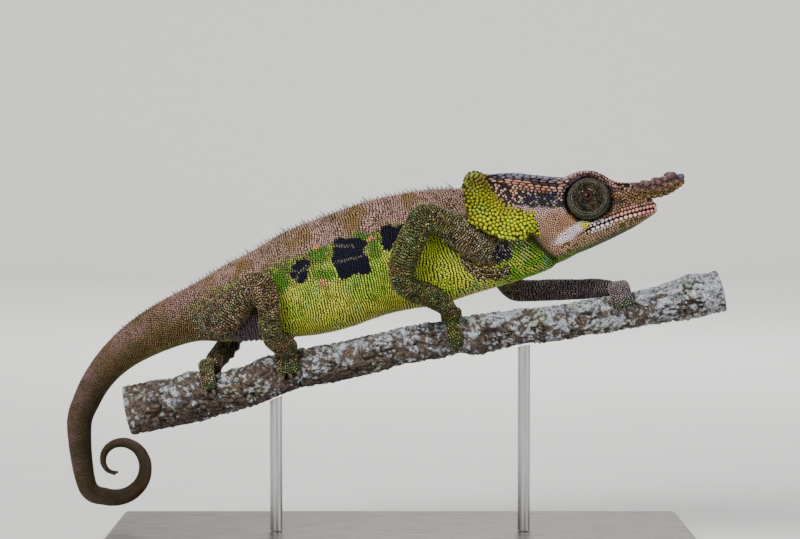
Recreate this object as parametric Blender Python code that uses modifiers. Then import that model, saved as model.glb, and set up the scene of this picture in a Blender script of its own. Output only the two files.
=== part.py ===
"""A life-size green-eared chameleon walking up a branch, held over a plain display stand.

Units are metres once built, and the sizes below are in millimetres. +X is the way the animal faces, +Y is its
left side, and +Z is up. The origin is the middle of the stand's underside.
"""

import math

import bmesh
import bpy
import numpy as np

MM = 0.001
GAP = 0.3

# Stand
BASE_LENGTH = 170.0
BASE_WIDTH = 78.0
BASE_HEIGHT = 8.0
BASE_EDGE = 1.2
ROD_RADIUS = 1.8
ROD_SIDES = 16
ROD_SMOOTH_ANGLE = 40.0
ROD_PLACES = {"rear": -36.0, "front": 36.0}

# Perch: x, z and radius along the branch, which lies in the plane y = 0
PERCH = [
    (-79.0, 43.0, 7.2), (-66.0, 45.8, 7.0), (-54.5, 47.9, 6.4), (-43.5, 50.2, 5.9), (-32.0, 54.2, 5.7),
    (-17.0, 57.6, 5.5), (0.0, 61.6, 5.4), (14.5, 64.4, 5.2), (29.0, 66.4, 5.2), (46.0, 69.0, 5.2),
    (64.0, 71.5, 5.2), (78.0, 74.5, 5.5), (93.0, 78.3, 6.2),
]
PERCH_RINGS = 26
PERCH_SIDES = 11
KNOTS = [(-60.0, 0.5), (-38.0, -0.9), (22.0, 2.2), (83.0, 1.0)]
KNOT_HEIGHT = 1.3
KNOT_LENGTH = 5.0
PERCH_FLATS = 3
PERCH_FLAT_DEPTH = 0.18
PERCH_TWIST = 0.13

# Neck, trunk and tail from the throat back to where the coil starts: x, y, z, half height and half width
SPINE = [
    (48.7, 0.0, 96.9, 8.0, 6.2), (42.9, 0.0, 96.9, 12.0, 7.6), (33.4, 0.0, 94.5, 13.3, 8.3),
    (23.8, 0.0, 92.8, 14.6, 9.2), (16.2, 0.0, 91.6, 15.7, 9.9), (8.7, -0.2, 90.2, 16.5, 10.4),
    (0.0, -0.4, 88.7, 16.5, 10.8), (-6.1, -0.5, 87.3, 16.4, 11.0), (-13.0, -0.5, 85.0, 16.2, 11.0),
    (-20.0, -0.4, 82.5, 16.2, 10.8), (-29.0, 0.0, 79.7, 15.4, 10.2), (-37.7, 0.5, 76.9, 13.4, 9.3),
    (-46.4, 1.2, 74.5, 11.7, 8.4), (-53.6, 2.0, 72.5, 9.8, 7.5), (-60.9, 3.0, 70.5, 7.9, 6.5),
    (-68.1, 4.4, 67.6, 7.0, 5.8), (-75.4, 6.0, 63.7, 6.2, 5.2), (-82.1, 7.6, 58.9, 5.3, 4.6),
    (-87.9, 9.0, 52.8, 4.6, 4.1), (-92.2, 10.0, 45.5, 4.2, 3.7), (-94.7, 10.4, 37.0, 3.8, 3.3),
]
FLANK_FULLNESS = 0.18
RIDGE_HEIGHT = 0.05
RIDGE_WIDTH = 0.35

# The hanging coil of the tail: an inward spiral in the plane of the tail, measured from its outer end
COIL_CENTRE = (-83.5, 26.1)
COIL_OUTER = 11.7
COIL_INNER = 2.6
COIL_TURNS = 1.25
COIL_SIDEWAYS = (10.6, 12.6)
COIL_THICKNESS = (3.4, 0.8)
COIL_POINTS = 14
SPINE_SAMPLES = 1200
RING_PAD = 0.002

# Where the body is parted, as x on the spine, and along the coil as a share of the whole body's length
NECK_END_X = 29.5
VENT_X = -55.5
TAIL_BEND_X = -80.0
COIL_CUTS = (0.722, 0.812, 0.888)

# Crest of spines on the back
CREST_START_X = 14.5
CREST_END_X = -78.0
CREST_PART_X = -57.8
CREST_PITCH = 1.25
CREST_TALL = 1.6
CREST_SHORT = 0.85
CREST_TALL_EVERY = 5
CREST_LEAN = 0.85
CREST_ROOT = 0.75
CREST_TIP = 0.1
CREST_SUNK = 0.9
CREST_SIDES = 4
CREST_REAR_SHARE = 0.35
CREST_FADE_LENGTH = 60.0
CREST_CLEAR = (0.1, 1.2, 1.0)

# Head: feature lines from the back of the casque to the snout, each x, half width and z
CROWN = [
    (22.3, 0, 111.1), (31.9, 0, 112.2), (42.9, 0, 111.2), (52.2, 0, 110.6), (59.7, 0, 109.3),
    (67.9, 0, 107.2), (71.5, 0, 105.6), (73.3, 0, 103.5),
]
CASQUE_EDGE = [
    (22.3, 3.2, 110.8), (27.6, 6.6, 111.6), (37.7, 8.4, 110.8), (46.4, 8.8, 110.2), (50.2, 9.1, 111.9),
    (54.2, 9.0, 113.0), (58.0, 8.2, 111.9), (61.5, 6.8, 109.9), (67.9, 5.0, 109.3), (71.5, 3.9, 107.6),
    (73.3, 2.4, 103.8),
]
TEMPLE = [
    (22.3, 3.6, 108.8), (31.9, 8.6, 107.3), (42.9, 9.6, 105.6), (54.5, 8.2, 105.0), (63.8, 6.2, 105.9),
    (71.0, 4.3, 105.4), (73.3, 2.8, 103.2),
]
CHEEK = [
    (22.3, 3.4, 107.3), (31.9, 9.8, 103.0), (42.9, 12.0, 98.9), (52.2, 10.9, 98.3), (59.7, 8.8, 100.6),
    (67.9, 6.1, 103.0), (73.3, 3.0, 102.4),
]
JAW_SIDE = [
    (22.3, 2.4, 106.4), (31.9, 8.8, 99.8), (42.9, 11.3, 91.9), (52.2, 9.9, 93.7), (59.7, 8.2, 96.9),
    (67.9, 5.8, 99.9), (73.3, 2.8, 101.4),
]
JAW_EDGE = [
    (22.3, 1.2, 106.0), (31.9, 6.0, 97.7), (42.9, 8.2, 87.9), (52.2, 7.4, 90.3), (59.7, 6.1, 93.6),
    (67.9, 4.2, 97.3), (73.3, 1.8, 100.4),
]
CHIN = [
    (22.3, 0, 105.9), (31.9, 0, 96.9), (42.9, 0, 86.1), (52.2, 0, 89.0), (59.7, 0, 92.2), (67.9, 0, 96.3),
    (73.3, 0, 99.8),
]
SNOUT_CAP = [(0.86, 0.5), (0.5, 1.0)]
HEAD_BACK = 22.3
HEAD_FRONT = 73.3
HEAD_RINGS = 17
HEAD_SIDES = 22

# The mouth, as x and z from in front of the snout back to its corner, then down behind the jaw
MOUTH = [
    (80.0, 103.2), (73.3, 102.0), (70.2, 101.4), (67.0, 100.7), (62.0, 99.3), (58.6, 98.0), (55.2, 96.8),
    (52.8, 95.5), (50.2, 93.6),
]
JAW_HINGE = [(46.8, 91.0), (44.8, 82.0), (44.4, 72.0)]
MOUTH_OPENING = 0.3
JAW_CUT_UNDER = [(95.0, 70.0)]
JAW_CUT_OVER = [(30.0, 72.0), (10.0, 90.0), (10.0, 125.0), (95.0, 125.0)]
JAW_CUT_HALF_WIDTH = 30.0
LIP_RADIUS = 0.85
LIP_SUNK = 0.4
NOSTRIL = (67.6, 105.0)
NOSTRIL_RADIUS = 0.7

# Eye turrets, set a little forward and up, and the eyeballs in their small openings
EYE = (53.9, 7.9, 104.6)
TURRET_RADIUS = 6.25
TURRET_HEIGHT = 5.4
TURRET_ROOT = 2.6
TURRET_RINGS = 2
TURRET_RING_HEIGHT = 0.18
TURRET_SIDES = 16
TURRET_STEPS = 8
TURRET_FOOT = [(0.72, 1.0), (0.95, 0.4)]
SOCKET_STEPS = 5
SOCKET_MOUTH = (6.6, 9.0)
PUPIL_OPENING = 1.35
EYEBALL_RADIUS = 2.5
EYEBALL_SIDES = 10
EYEBALL_RINGS = 6
EYEBALL_BEND = 1.35
EYEBALL_SET_BACK = 0.1
EYE_FORWARD = -8.0
EYE_UP = 14.0

# Snout horns: x, half distance apart, z, half height and half thickness
SNOUT_HORN = [
    (67.6, 4.1, 107.7, 1.9, 1.4), (71.0, 3.9, 107.5, 2.5, 1.5), (75.2, 3.6, 107.9, 2.6, 1.5),
    (78.6, 3.4, 109.3, 2.4, 1.5), (82.0, 3.3, 110.3, 1.5, 1.2),
]
HORN_TUBERCLES = [(70.6, 1.15), (74.2, 1.35), (78.0, 1.6), (81.3, 1.15)]
HORN_TUBERCLE_SUNK = 0.35
BROW_TUBERCLES = [(47.5, 0.7), (50.4, 0.8), (53.4, 0.85), (56.4, 0.8), (59.6, 0.75), (62.6, 0.9),
                  (65.6, 1.0)]
BROW_IN = 0.97
BROW_SUNK = 0.3

# Ear lobes: matching points on the root along the casque and on the free edge, each x, half width and z
LOBE_ROOT = [(25.0, 1.8, 110.4), (25.6, 6.4, 107.6), (28.2, 8.4, 103.9), (32.2, 9.6, 101.3),
             (37.4, 10.5, 100.8)]
LOBE_EDGE = [
    (19.6, 2.4, 112.3), (17.8, 9.0, 108.6), (17.7, 12.4, 104.2), (19.8, 14.3, 98.6), (25.2, 15.0, 94.6),
    (30.2, 14.6, 93.1), (34.9, 13.4, 93.2), (38.4, 11.6, 95.4),
]
LOBE_THICKNESS = 1.6
LOBE_BULGE = 1.3
LOBE_THINNING = 0.45
LOBE_COLUMNS = 12
LOBE_ROWS = 5

# Limbs, each in three parts with rows of x, half distance from the midline, z and radius. Every part but the
# last ends in a ball, and the next part is hollowed to sit round it.
LIMBS = {
    "right_fore": {
        "side": -1,
        "parts": [
            [(27.8, 3.0, 88.7, 5.2), (22.6, 8.6, 91.1, 5.0), (16.8, 12.2, 94.8, 4.4),
             (11.6, 14.4, 98.2, 4.2),
             (7.4, 15.4, 100.2, 4.2)],
            [(7.0, 15.4, 100.0, 3.5), (4.4, 15.9, 95.4, 4.2), (2.2, 16.0, 90.6, 4.4),
             (0.6, 15.6, 85.8, 4.2),
             (0.4, 14.8, 81.6, 3.9)],
            [(0.5, 14.6, 81.2, 3.2), (3.6, 13.2, 78.8, 3.5), (8.2, 11.0, 77.0, 3.3), (12.6, 8.4, 74.4, 3.0),
             (15.0, 6.0, 71.6, 2.4)],
        ],
        "grip_x": 15.8,
        "palm": 50.0,
    },
    "left_fore": {
        "side": 1,
        "parts": [
            [(28.4, 3.0, 88.4, 5.0), (29.6, 8.2, 84.9, 4.6), (31.4, 10.0, 80.8, 4.0),
             (33.4, 10.6, 78.2, 3.8)],
            [(33.8, 10.6, 78.0, 3.1), (38.0, 10.6, 77.5, 3.4), (46.0, 9.8, 77.8, 3.4),
             (52.4, 8.6, 78.0, 3.2)],
            [(52.8, 8.5, 78.0, 2.6), (57.1, 7.2, 78.3, 3.2), (61.4, 5.0, 78.2, 2.8),
             (64.2, 2.9, 77.7, 2.3)],
        ],
        "grip_x": 64.6,
        "palm": 26.0,
    },
    "right_hind": {
        "side": -1,
        "parts": [
            [(-53.6, 2.4, 69.0, 6.3), (-50.4, 6.4, 71.4, 6.2), (-46.6, 10.2, 75.2, 5.1),
             (-43.0, 12.4, 79.0, 4.3),
             (-39.8, 13.2, 81.4, 4.0)],
            [(-39.4, 13.2, 81.0, 3.3), (-37.8, 13.4, 77.4, 3.5), (-37.2, 13.3, 73.0, 3.4),
             (-37.0, 12.7, 68.5, 3.3),
             (-36.2, 11.5, 65.4, 3.3)],
            [(-36.0, 11.2, 65.0, 2.7), (-34.6, 8.8, 63.4, 3.3), (-32.8, 5.4, 62.3, 3.3),
             (-31.6, 2.8, 61.6, 2.8)],
        ],
        "grip_x": -31.4,
        "palm": 24.0,
    },
    "left_hind": {
        "side": 1,
        "parts": [
            [(-52.6, 4.4, 69.6, 6.0), (-49.2, 9.0, 71.6, 5.3), (-45.8, 12.8, 73.8, 4.5),
             (-43.4, 14.6, 74.6, 4.1)],
            [(-43.6, 14.7, 74.0, 3.4), (-46.0, 14.6, 69.6, 3.6), (-49.2, 13.6, 64.6, 3.7),
             (-51.4, 11.8, 60.6, 3.6)],
            [(-51.6, 11.5, 60.2, 2.9), (-53.2, 9.0, 58.3, 3.3), (-54.2, 6.0, 57.1, 3.1),
             (-54.4, 3.2, 56.4, 2.6)],
        ],
        "grip_x": -54.4,
        "palm": 24.0,
    },
}
LIMB_PARTS = {
    "right_fore": ("right_upper_arm", "right_forearm", "right_hand"),
    "left_fore": ("left_upper_arm", "left_forearm", "left_hand"),
    "right_hind": ("right_thigh", "right_shin", "right_foot"),
    "left_hind": ("left_thigh", "left_shin", "left_foot"),
}
LIMB_SIDES = 11
LIMB_STEP = 3.6
JOINT_BENDS = (28.0, 54.0, 76.0)

# Toes: two bundles on each foot, one reaching down the near face of the perch and one round its far face.
# A hand has two outer and three inner toes, and a foot three outer and two inner.
TOE_COUNTS = {"fore": (2, 3), "hind": (3, 2)}
TOE_PITCH = 2.15
TOE_RADIUS = (1.65, 1.15)
TOE_SIDES = 5
TOE_OUTER_REACH = 78.0
TOE_INNER_REACH = 92.0
TOE_SPLAY = 0.35
TOE_ROOT_SHARE = 0.75
TOE_POINTS = 4
TOE_BEDDING = 0.92
TOE_ARCH = 1.6
PALM_OFFSETS = (8.0, 14.0)
CLAW_SIDES = 4
CLAW_RADII = (0.72, 0.55, 0.1)
CLAW_AHEAD = (-0.5, 1.05, 2.0)
CLAW_INWARD = (0.0, -0.15, 0.55)

# Finishes: base colour, roughness and metallic value
FINISHES = {
    "trunk": ((0.36, 0.33, 0.12), 0.6, 0.0),
    "tail": ((0.30, 0.24, 0.16), 0.6, 0.0),
    "head": ((0.50, 0.34, 0.26), 0.55, 0.0),
    "jaw": ((0.52, 0.40, 0.30), 0.55, 0.0),
    "lobe": ((0.52, 0.55, 0.04), 0.5, 0.0),
    "turret": ((0.07, 0.08, 0.06), 0.55, 0.0),
    "eyeball": ((0.05, 0.02, 0.02), 0.08, 0.0),
    "limb": ((0.20, 0.19, 0.12), 0.6, 0.0),
    "bark": ((0.34, 0.31, 0.28), 0.9, 0.0),
    "stand": ((0.06, 0.055, 0.05), 0.35, 0.0),
    "rod": ((0.45, 0.44, 0.42), 0.3, 1.0),
}


def clear_scene():
    for obj in list(bpy.data.objects):
        bpy.data.objects.remove(obj, do_unlink=True)


def new_collection(name):
    collection = bpy.data.collections.new(name)
    bpy.context.scene.collection.children.link(collection)
    return collection


def material(name):
    """The Principled material of a finish's name, made once."""
    if name in bpy.data.materials:
        return bpy.data.materials[name]
    colour, roughness, metallic = FINISHES[name]
    made = bpy.data.materials.new(name)
    made.use_nodes = True
    shader = made.node_tree.nodes["Principled BSDF"]
    shader.inputs["Base Color"].default_value = (*colour, 1.0)
    shader.inputs["Roughness"].default_value = roughness
    shader.inputs["Metallic"].default_value = metallic
    return made


def spline(rows, count, start=0.0, end=1.0, fine=24):
    """Rows read from a smooth curve through the given rows, evenly spaced along their first three columns."""
    knots = np.asarray(rows, float)
    slopes = np.gradient(knots, axis=0)
    t = np.linspace(0, 1, fine, endpoint=False)[:, None]
    spans = [
        (2 * t**3 - 3 * t**2 + 1) * a + (t**3 - 2 * t**2 + t) * da
        + (3 * t**2 - 2 * t**3) * b + (t**3 - t**2) * db
        for a, b, da, db in zip(knots, knots[1:], slopes, slopes[1:])
    ]
    dense = np.vstack([*spans, knots[-1:]])
    steps = np.linalg.norm(np.diff(dense[:, :3], axis=0), axis=1)
    along = np.concatenate([[0], np.cumsum(steps)]) / steps.sum()
    wanted = np.linspace(start, end, count)
    return np.stack([np.interp(wanted, along, column) for column in dense.T], axis=1)


def unit(vectors):
    return vectors / np.linalg.norm(vectors, axis=-1, keepdims=True)


def mesh_object(name, points, faces, collection, colour):
    """An object from points in millimetres, with its faces turned outwards."""
    mesh = bpy.data.meshes.new(name)
    mesh.from_pydata((np.asarray(points) * MM).tolist(), [], [list(map(int, f)) for f in faces])
    shape = bmesh.new()
    shape.from_mesh(mesh)
    bmesh.ops.recalc_face_normals(shape, faces=shape.faces)
    if shape.calc_volume(signed=True) < 0:
        bmesh.ops.reverse_faces(shape, faces=shape.faces)
    shape.to_mesh(mesh)
    shape.free()
    mesh.shade_smooth()
    mesh.materials.append(material(colour))
    obj = bpy.data.objects.new(name, mesh)
    collection.objects.link(obj)
    return obj


def loft(name, rings, collection, colour):
    """A closed solid through rings, an array of ring by corner by xyz, with a fan at each end."""
    count, sides = rings.shape[:2]
    points = np.vstack([rings.reshape(-1, 3), rings[0].mean(0), rings[-1].mean(0)])
    faces = []
    for ring in range(count - 1):
        for corner in range(sides):
            after = (corner + 1) % sides
            here, there = ring * sides, (ring + 1) * sides
            faces.append((here + corner, here + after, there + after, there + corner))
    for end, hub in ((0, count * sides), (count - 1, count * sides + 1)):
        for corner in range(sides):
            faces.append((end * sides + corner, end * sides + (corner + 1) % sides, hub))
    return mesh_object(name, points, faces, collection, colour)


def tube_rings(path, radii, sides):
    """Round rings across a path, each turned as little as possible from the one before."""
    ways = unit(np.gradient(path, axis=0))
    side = unit(np.cross(ways[0], (0.3, 0.9, 0.2)))
    angles = np.linspace(0, 2 * math.pi, sides, endpoint=False)
    rings = []
    for point, way, radius in zip(path, ways, radii):
        side = unit(side - way * (side @ way))
        other = np.cross(way, side)
        rings.append(point + radius * (np.outer(np.cos(angles), side) + np.outer(np.sin(angles), other)))
    return np.array(rings)


def evaluated(obj):
    graph = bpy.context.evaluated_depsgraph_get()
    return bpy.data.meshes.new_from_object(obj.evaluated_get(graph))


def apply_modifiers(obj):
    mesh = evaluated(obj)
    obj.modifiers.clear()
    obj.data = mesh


def keep_largest(obj):
    """Keeps only the closed surface that holds the most volume."""
    shape = bmesh.new()
    shape.from_mesh(obj.data)
    left, islands = set(shape.faces), []
    while left:
        island, edge = [], [left.pop()]
        while edge:
            face = edge.pop()
            island.append(face)
            near = {other for side in face.edges for other in side.link_faces if other in left}
            left -= near
            edge += near
        islands.append(island)
    best = max(islands, key=island_volume)
    keep = {vert for face in best for vert in face.verts}
    bmesh.ops.delete(shape, geom=[v for v in shape.verts if v not in keep], context="VERTS")
    shape.to_mesh(obj.data)
    shape.free()


def island_volume(faces):
    """The volume inside a closed set of faces."""
    total = 0.0
    for face in faces:
        first, *rest = [vert.co for vert in face.verts]
        total += sum(first.dot(b.cross(c)) for b, c in zip(rest, rest[1:])) / 6
    return abs(total)


def cut(obj, *cutters, solver="EXACT"):
    """Takes the cutters' space out of the object, one after another, and keeps the largest piece left."""
    for number, cutter in enumerate(cutters):
        modifier = obj.modifiers.new(f"cut_{number}", "BOOLEAN")
        modifier.operation = "DIFFERENCE"
        modifier.solver = solver
        modifier.object = cutter
        apply_modifiers(obj)
    keep_largest(obj)


def union(obj, pieces):
    """Joins the pieces to the object and removes them."""
    group = new_collection(obj.name + "_pieces")
    for piece in pieces:
        for owner in list(piece.users_collection):
            owner.objects.unlink(piece)
        group.objects.link(piece)
    modifier = obj.modifiers.new("join", "BOOLEAN")
    modifier.operation = "UNION"
    modifier.solver = "EXACT"
    modifier.operand_type = "COLLECTION"
    modifier.collection = group
    apply_modifiers(obj)
    for piece in pieces:
        bpy.data.objects.remove(piece, do_unlink=True)
    bpy.data.collections.remove(group)
    keep_largest(obj)


def grown(obj, cutters, by=GAP):
    """A cutter that is the object swollen along its normals."""
    mesh = obj.data.copy()
    shape = bmesh.new()
    shape.from_mesh(mesh)
    shape.normal_update()
    moved = [(v, v.co + v.normal * by * MM) for v in shape.verts]
    for vert, place in moved:
        vert.co = place
    shape.to_mesh(mesh)
    shape.free()
    cutter = bpy.data.objects.new(obj.name + "_clearance", mesh)
    cutters.objects.link(cutter)
    cutter.hide_render = True
    cutter.display_type = "WIRE"
    return cutter


def body_rows():
    """The spine's rows with the coil's added, as x, y, z, half height and half width."""
    turn = np.linspace(0, 1, COIL_POINTS)[1:]
    angle = math.pi + turn * COIL_TURNS * 2 * math.pi
    radius = COIL_OUTER + (COIL_INNER - COIL_OUTER) * turn
    thick = COIL_THICKNESS[0] + (COIL_THICKNESS[1] - COIL_THICKNESS[0]) * turn**0.8
    coil = np.stack(
        [
            COIL_CENTRE[0] + radius * np.cos(angle),
            COIL_SIDEWAYS[0] + (COIL_SIDEWAYS[1] - COIL_SIDEWAYS[0]) * turn,
            COIL_CENTRE[1] + radius * np.sin(angle),
            thick,
            thick * 0.9,
        ],
        axis=1,
    )
    return np.vstack([SPINE, coil])


def body_frames(rows):
    """The way along the body, its left side and its dorsal direction at each row."""
    along = unit(np.gradient(rows[:, :3], axis=0))
    left = np.array([0.0, 1.0, 0.0]) - along * along[:, 1:2]
    left = unit(left)
    return along, left, np.cross(left, along)


def body_rings(start, end, count, sides):
    """Rings across the body: a tall oval, fuller low on the flank, with a low ridge on the back."""
    whole = body_rows()
    rows = spline(whole, count, start, end)
    ahead = spline(whole, count, start + RING_PAD, min(end + RING_PAD, 1.0))
    behind = spline(whole, count, max(start - RING_PAD, 0.0), end - RING_PAD)
    along = unit(ahead[:, :3] - behind[:, :3])
    left = unit(np.array([0.0, 1.0, 0.0]) - along * along[:, 1:2])
    dorsal = np.cross(left, along)
    angles = np.linspace(0, 2 * math.pi, sides, endpoint=False)
    across = np.sin(angles) * (1 - FLANK_FULLNESS * np.cos(angles))
    fold = np.minimum(angles, 2 * math.pi - angles)
    up = np.cos(angles) + RIDGE_HEIGHT * np.exp(-((fold / RIDGE_WIDTH) ** 2))
    height = rows[:, 3, None, None] * up[None, :, None]
    width = rows[:, 4, None, None] * across[None, :, None]
    return rows[:, None, :3] + height * dorsal[:, None] + width * left[:, None]


def body_share(x):
    """How far along the body its axis first passes an x, going back."""
    rows = spline(body_rows(), SPINE_SAMPLES)
    return int(np.argmax(rows[:, 0] < x)) / (SPINE_SAMPLES - 1)


def crest(start_x, end_x, cutters):
    """The row of spines on the back between two x, evenly spaced and leaning back, every third one tall."""
    rows = spline(body_rows(), SPINE_SAMPLES)
    along, _, dorsal = body_frames(rows)
    back = rows[:, :3] + dorsal * rows[:, 3:4] * (1 + RIDGE_HEIGHT)
    steps = np.linalg.norm(np.diff(back, axis=0), axis=1)
    length = np.concatenate([[0], np.cumsum(steps)])
    first, last = [int(np.argmax(back[:, 0] < x)) for x in (CREST_START_X, CREST_END_X)]
    spines = []
    for number, place in enumerate(np.arange(length[first], length[last], CREST_PITCH)):
        at = int(np.searchsorted(length, place))
        if end_x < back[at, 0] < start_x:
            fade = min(1.0, CREST_REAR_SHARE + (back[at, 0] - CREST_END_X) / CREST_FADE_LENGTH)
            tall = (CREST_TALL if number % CREST_TALL_EVERY == 0 else CREST_SHORT) * fade
            root = back[at] - dorsal[at] * CREST_SUNK
            tip = back[at] + dorsal[at] * tall + along[at] * tall * CREST_LEAN
            rings = tube_rings(np.array([root, tip]), (CREST_ROOT, CREST_TIP), CREST_SIDES)
            spines.append(loft(f"spine_{number}", rings, cutters, "trunk"))
    return spines


def body_piece(name, start, end, count, sides, collection, colour):
    return loft(name, body_rings(start, end, count, sides), collection, colour)


def make_body(collection, cutters):
    """Neck, trunk and four lengths of tail, parted by flat gaps, with the crest joined on."""
    neck_end, vent, bend = body_share(NECK_END_X), body_share(VENT_X), body_share(TAIL_BEND_X)
    length = np.linalg.norm(np.diff(spline(body_rows(), SPINE_SAMPLES)[:, :3], axis=0), axis=1).sum()
    gap = GAP / length
    first, second, third = COIL_CUTS
    lengths = {
        "neck": (0.0, neck_end, 6, 18, "trunk"),
        "trunk": (neck_end + gap, vent, 19, 20, "trunk"),
        "tail_root": (vent + gap, bend, 8, 16, "tail"),
        "tail_bend": (bend + gap, first, 11, 14, "tail"),
        "tail_coil_outer": (first + gap, second, 9, 12, "tail"),
        "tail_coil_inner": (second + gap, third, 9, 10, "tail"),
        "tail_tip": (third + gap, 1.0, 9, 8, "tail"),
    }
    made = {name: body_piece(name, *shape[:4], collection, shape[4]) for name, shape in lengths.items()}
    ahead, before, behind = CREST_CLEAR
    union(made["trunk"], crest(CREST_START_X + ahead, CREST_PART_X + before, cutters))
    union(made["tail_root"], crest(CREST_PART_X - behind, CREST_END_X, cutters))
    return made


def feature_line(points, xs):
    """A feature line's half width and height at each x."""
    dense = spline(points, 200)
    return np.stack([np.interp(xs, dense[:, 0], dense[:, column]) for column in (1, 2)], axis=1)


def head_corners(xs):
    """The feature lines' points at each x, once round the head from the crown."""
    right = [feature_line(line, xs) for line in (CASQUE_EDGE, TEMPLE, CHEEK, JAW_SIDE, JAW_EDGE)]
    crown, chin = feature_line(CROWN, xs), feature_line(CHIN, xs)
    left = [line * (-1, 1) for line in right]
    return np.stack([crown, *left, chin, *reversed(right)], axis=1)


def head_rings(count, sides):
    """Rings across the head, each a smooth closed curve through its feature lines, and a blunt snout."""
    xs = HEAD_BACK + (HEAD_FRONT - HEAD_BACK) * np.linspace(0, 1, count)
    rings = np.array([closed_curve(x, ring, sides) for x, ring in zip(xs, head_corners(xs))])
    middle = rings[-1].mean(axis=0)
    caps = [middle + (rings[-1] - middle) * share + (ahead, 0, 0) for share, ahead in SNOUT_CAP]
    return np.concatenate([rings, caps])


def closed_curve(x, corners, sides):
    """A ring at x through the corners, closed smoothly and read at even steps."""
    slopes = (np.roll(corners, -1, axis=0) - np.roll(corners, 1, axis=0)) / 2
    t = np.linspace(0, 1, 12, endpoint=False)[:, None]
    spans = [
        (2 * t**3 - 3 * t**2 + 1) * a + (t**3 - 2 * t**2 + t) * da
        + (3 * t**2 - 2 * t**3) * b + (t**3 - t**2) * db
        for a, b, da, db in zip(corners, np.roll(corners, -1, axis=0), slopes, np.roll(slopes, -1, axis=0))
    ]
    dense = np.vstack([*spans, corners[:1]])
    steps = np.linalg.norm(np.diff(dense, axis=0), axis=1)
    along = np.concatenate([[0], np.cumsum(steps)]) / steps.sum()
    wanted = np.linspace(0, 1, sides, endpoint=False)
    y, z = np.interp(wanted, along, dense[:, 0]), np.interp(wanted, along, dense[:, 1])
    return np.stack([np.full(sides, x), y, z], axis=1)


def ball(name, centre, radii, collection, colour, detail=2):
    """An icosphere stretched to three radii."""
    shape = bmesh.new()
    bmesh.ops.create_icosphere(shape, subdivisions=detail, radius=1.0)
    points = np.array([v.co[:] for v in shape.verts]) * radii + centre
    faces = [[v.index for v in f.verts] for f in shape.faces]
    shape.free()
    return mesh_object(name, points, faces, collection, colour)


def eye_frame(side):
    """Where an eye sits and the way it looks."""
    forward, up = math.radians(EYE_FORWARD), math.radians(EYE_UP)
    level = math.cos(forward)
    out = np.array([math.sin(forward), side * level * math.cos(up), level * math.sin(up)])
    return np.array([EYE[0], side * EYE[1], EYE[2]]), unit(out)


def turned(name, profile, place, way, sides, collection, colour):
    """A closed turned solid: profile rows are radius and height along a way from a place."""
    across = unit(np.cross(way, (1.0, 0.0, 0.2)))
    other = np.cross(way, across)
    angles = np.linspace(0, 2 * math.pi, sides, endpoint=False)
    circle = np.outer(np.cos(angles), across) + np.outer(np.sin(angles), other)
    rings = np.array([place + way * height + circle * radius for radius, height in profile])
    return loft(name, rings, collection, colour)


def turret_profile():
    """Radius and height of a turret from its root in the socket to the rim of its small opening."""
    angle = np.linspace(0.0, math.acos(PUPIL_OPENING / TURRET_RADIUS), TURRET_STEPS)
    radius, height = TURRET_RADIUS * np.cos(angle), TURRET_HEIGHT * np.sin(angle)
    folds = TURRET_RING_HEIGHT * np.sin(np.linspace(0, TURRET_RINGS * 2 * math.pi, len(angle)))
    dome = [(r + f * math.cos(a), h + f * math.sin(a)) for r, h, f, a in zip(radius, height, folds, angle)]
    foot = [(TURRET_RADIUS * share, -TURRET_ROOT * depth) for share, depth in TURRET_FOOT]
    return [*foot, *dome]


def make_eye(side_name, side, collection, cutters):
    """A ringed turret with an eyeball behind its small round opening."""
    place, way = eye_frame(side)
    bends = np.linspace(-EYEBALL_BEND, EYEBALL_BEND, EYEBALL_RINGS)
    circle = [(EYEBALL_RADIUS * math.cos(a), EYEBALL_RADIUS * math.sin(a)) for a in bends]
    middle = place + way * (TURRET_HEIGHT - EYEBALL_RADIUS - EYEBALL_SET_BACK)
    eyeball = turned(side_name + "_eyeball", circle, middle, way, EYEBALL_SIDES, collection, "eyeball")
    profile = turret_profile()
    turret = turned(side_name + "_eye_turret", profile, place, way, TURRET_SIDES, collection, "turret")
    cut(turret, grown(eyeball, cutters))
    return turret, eyeball


def jaw_cutters(cutters):
    """Two wide prisms, under and over the mouth line, each short of it by half the opening."""
    line = np.array(MOUTH + JAW_HINGE)
    half = MOUTH_OPENING / 2
    ways = unit(np.gradient(line, axis=0))
    over = np.stack([ways[:, 1], -ways[:, 0]], axis=1)
    made = []
    for name, shift, outer in (
        ("under_mouth", over * half, JAW_CUT_UNDER),
        ("over_mouth", -over * half, JAW_CUT_OVER),
    ):
        outline = np.vstack([line + shift, outer])
        rings = np.array([[(x, y, z) for x, z in outline] for y in (-JAW_CUT_HALF_WIDTH, JAW_CUT_HALF_WIDTH)])
        count = len(outline)
        faces = [tuple(range(count)), tuple(range(count, 2 * count))]
        faces += [(i, (i + 1) % count, count + (i + 1) % count, count + i) for i in range(count)]
        cutter = mesh_object(name, rings.reshape(-1, 3), faces, cutters, "jaw")
        cutter.hide_render = True
        cutter.display_type = "WIRE"
        made.append(cutter)
    return made


def horn_path(side):
    """A snout horn's centre line, half heights and half thicknesses."""
    rows = spline(SNOUT_HORN, 7)
    return rows[:, :3] * (1, side, 1), rows[:, 3], rows[:, 4]


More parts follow.
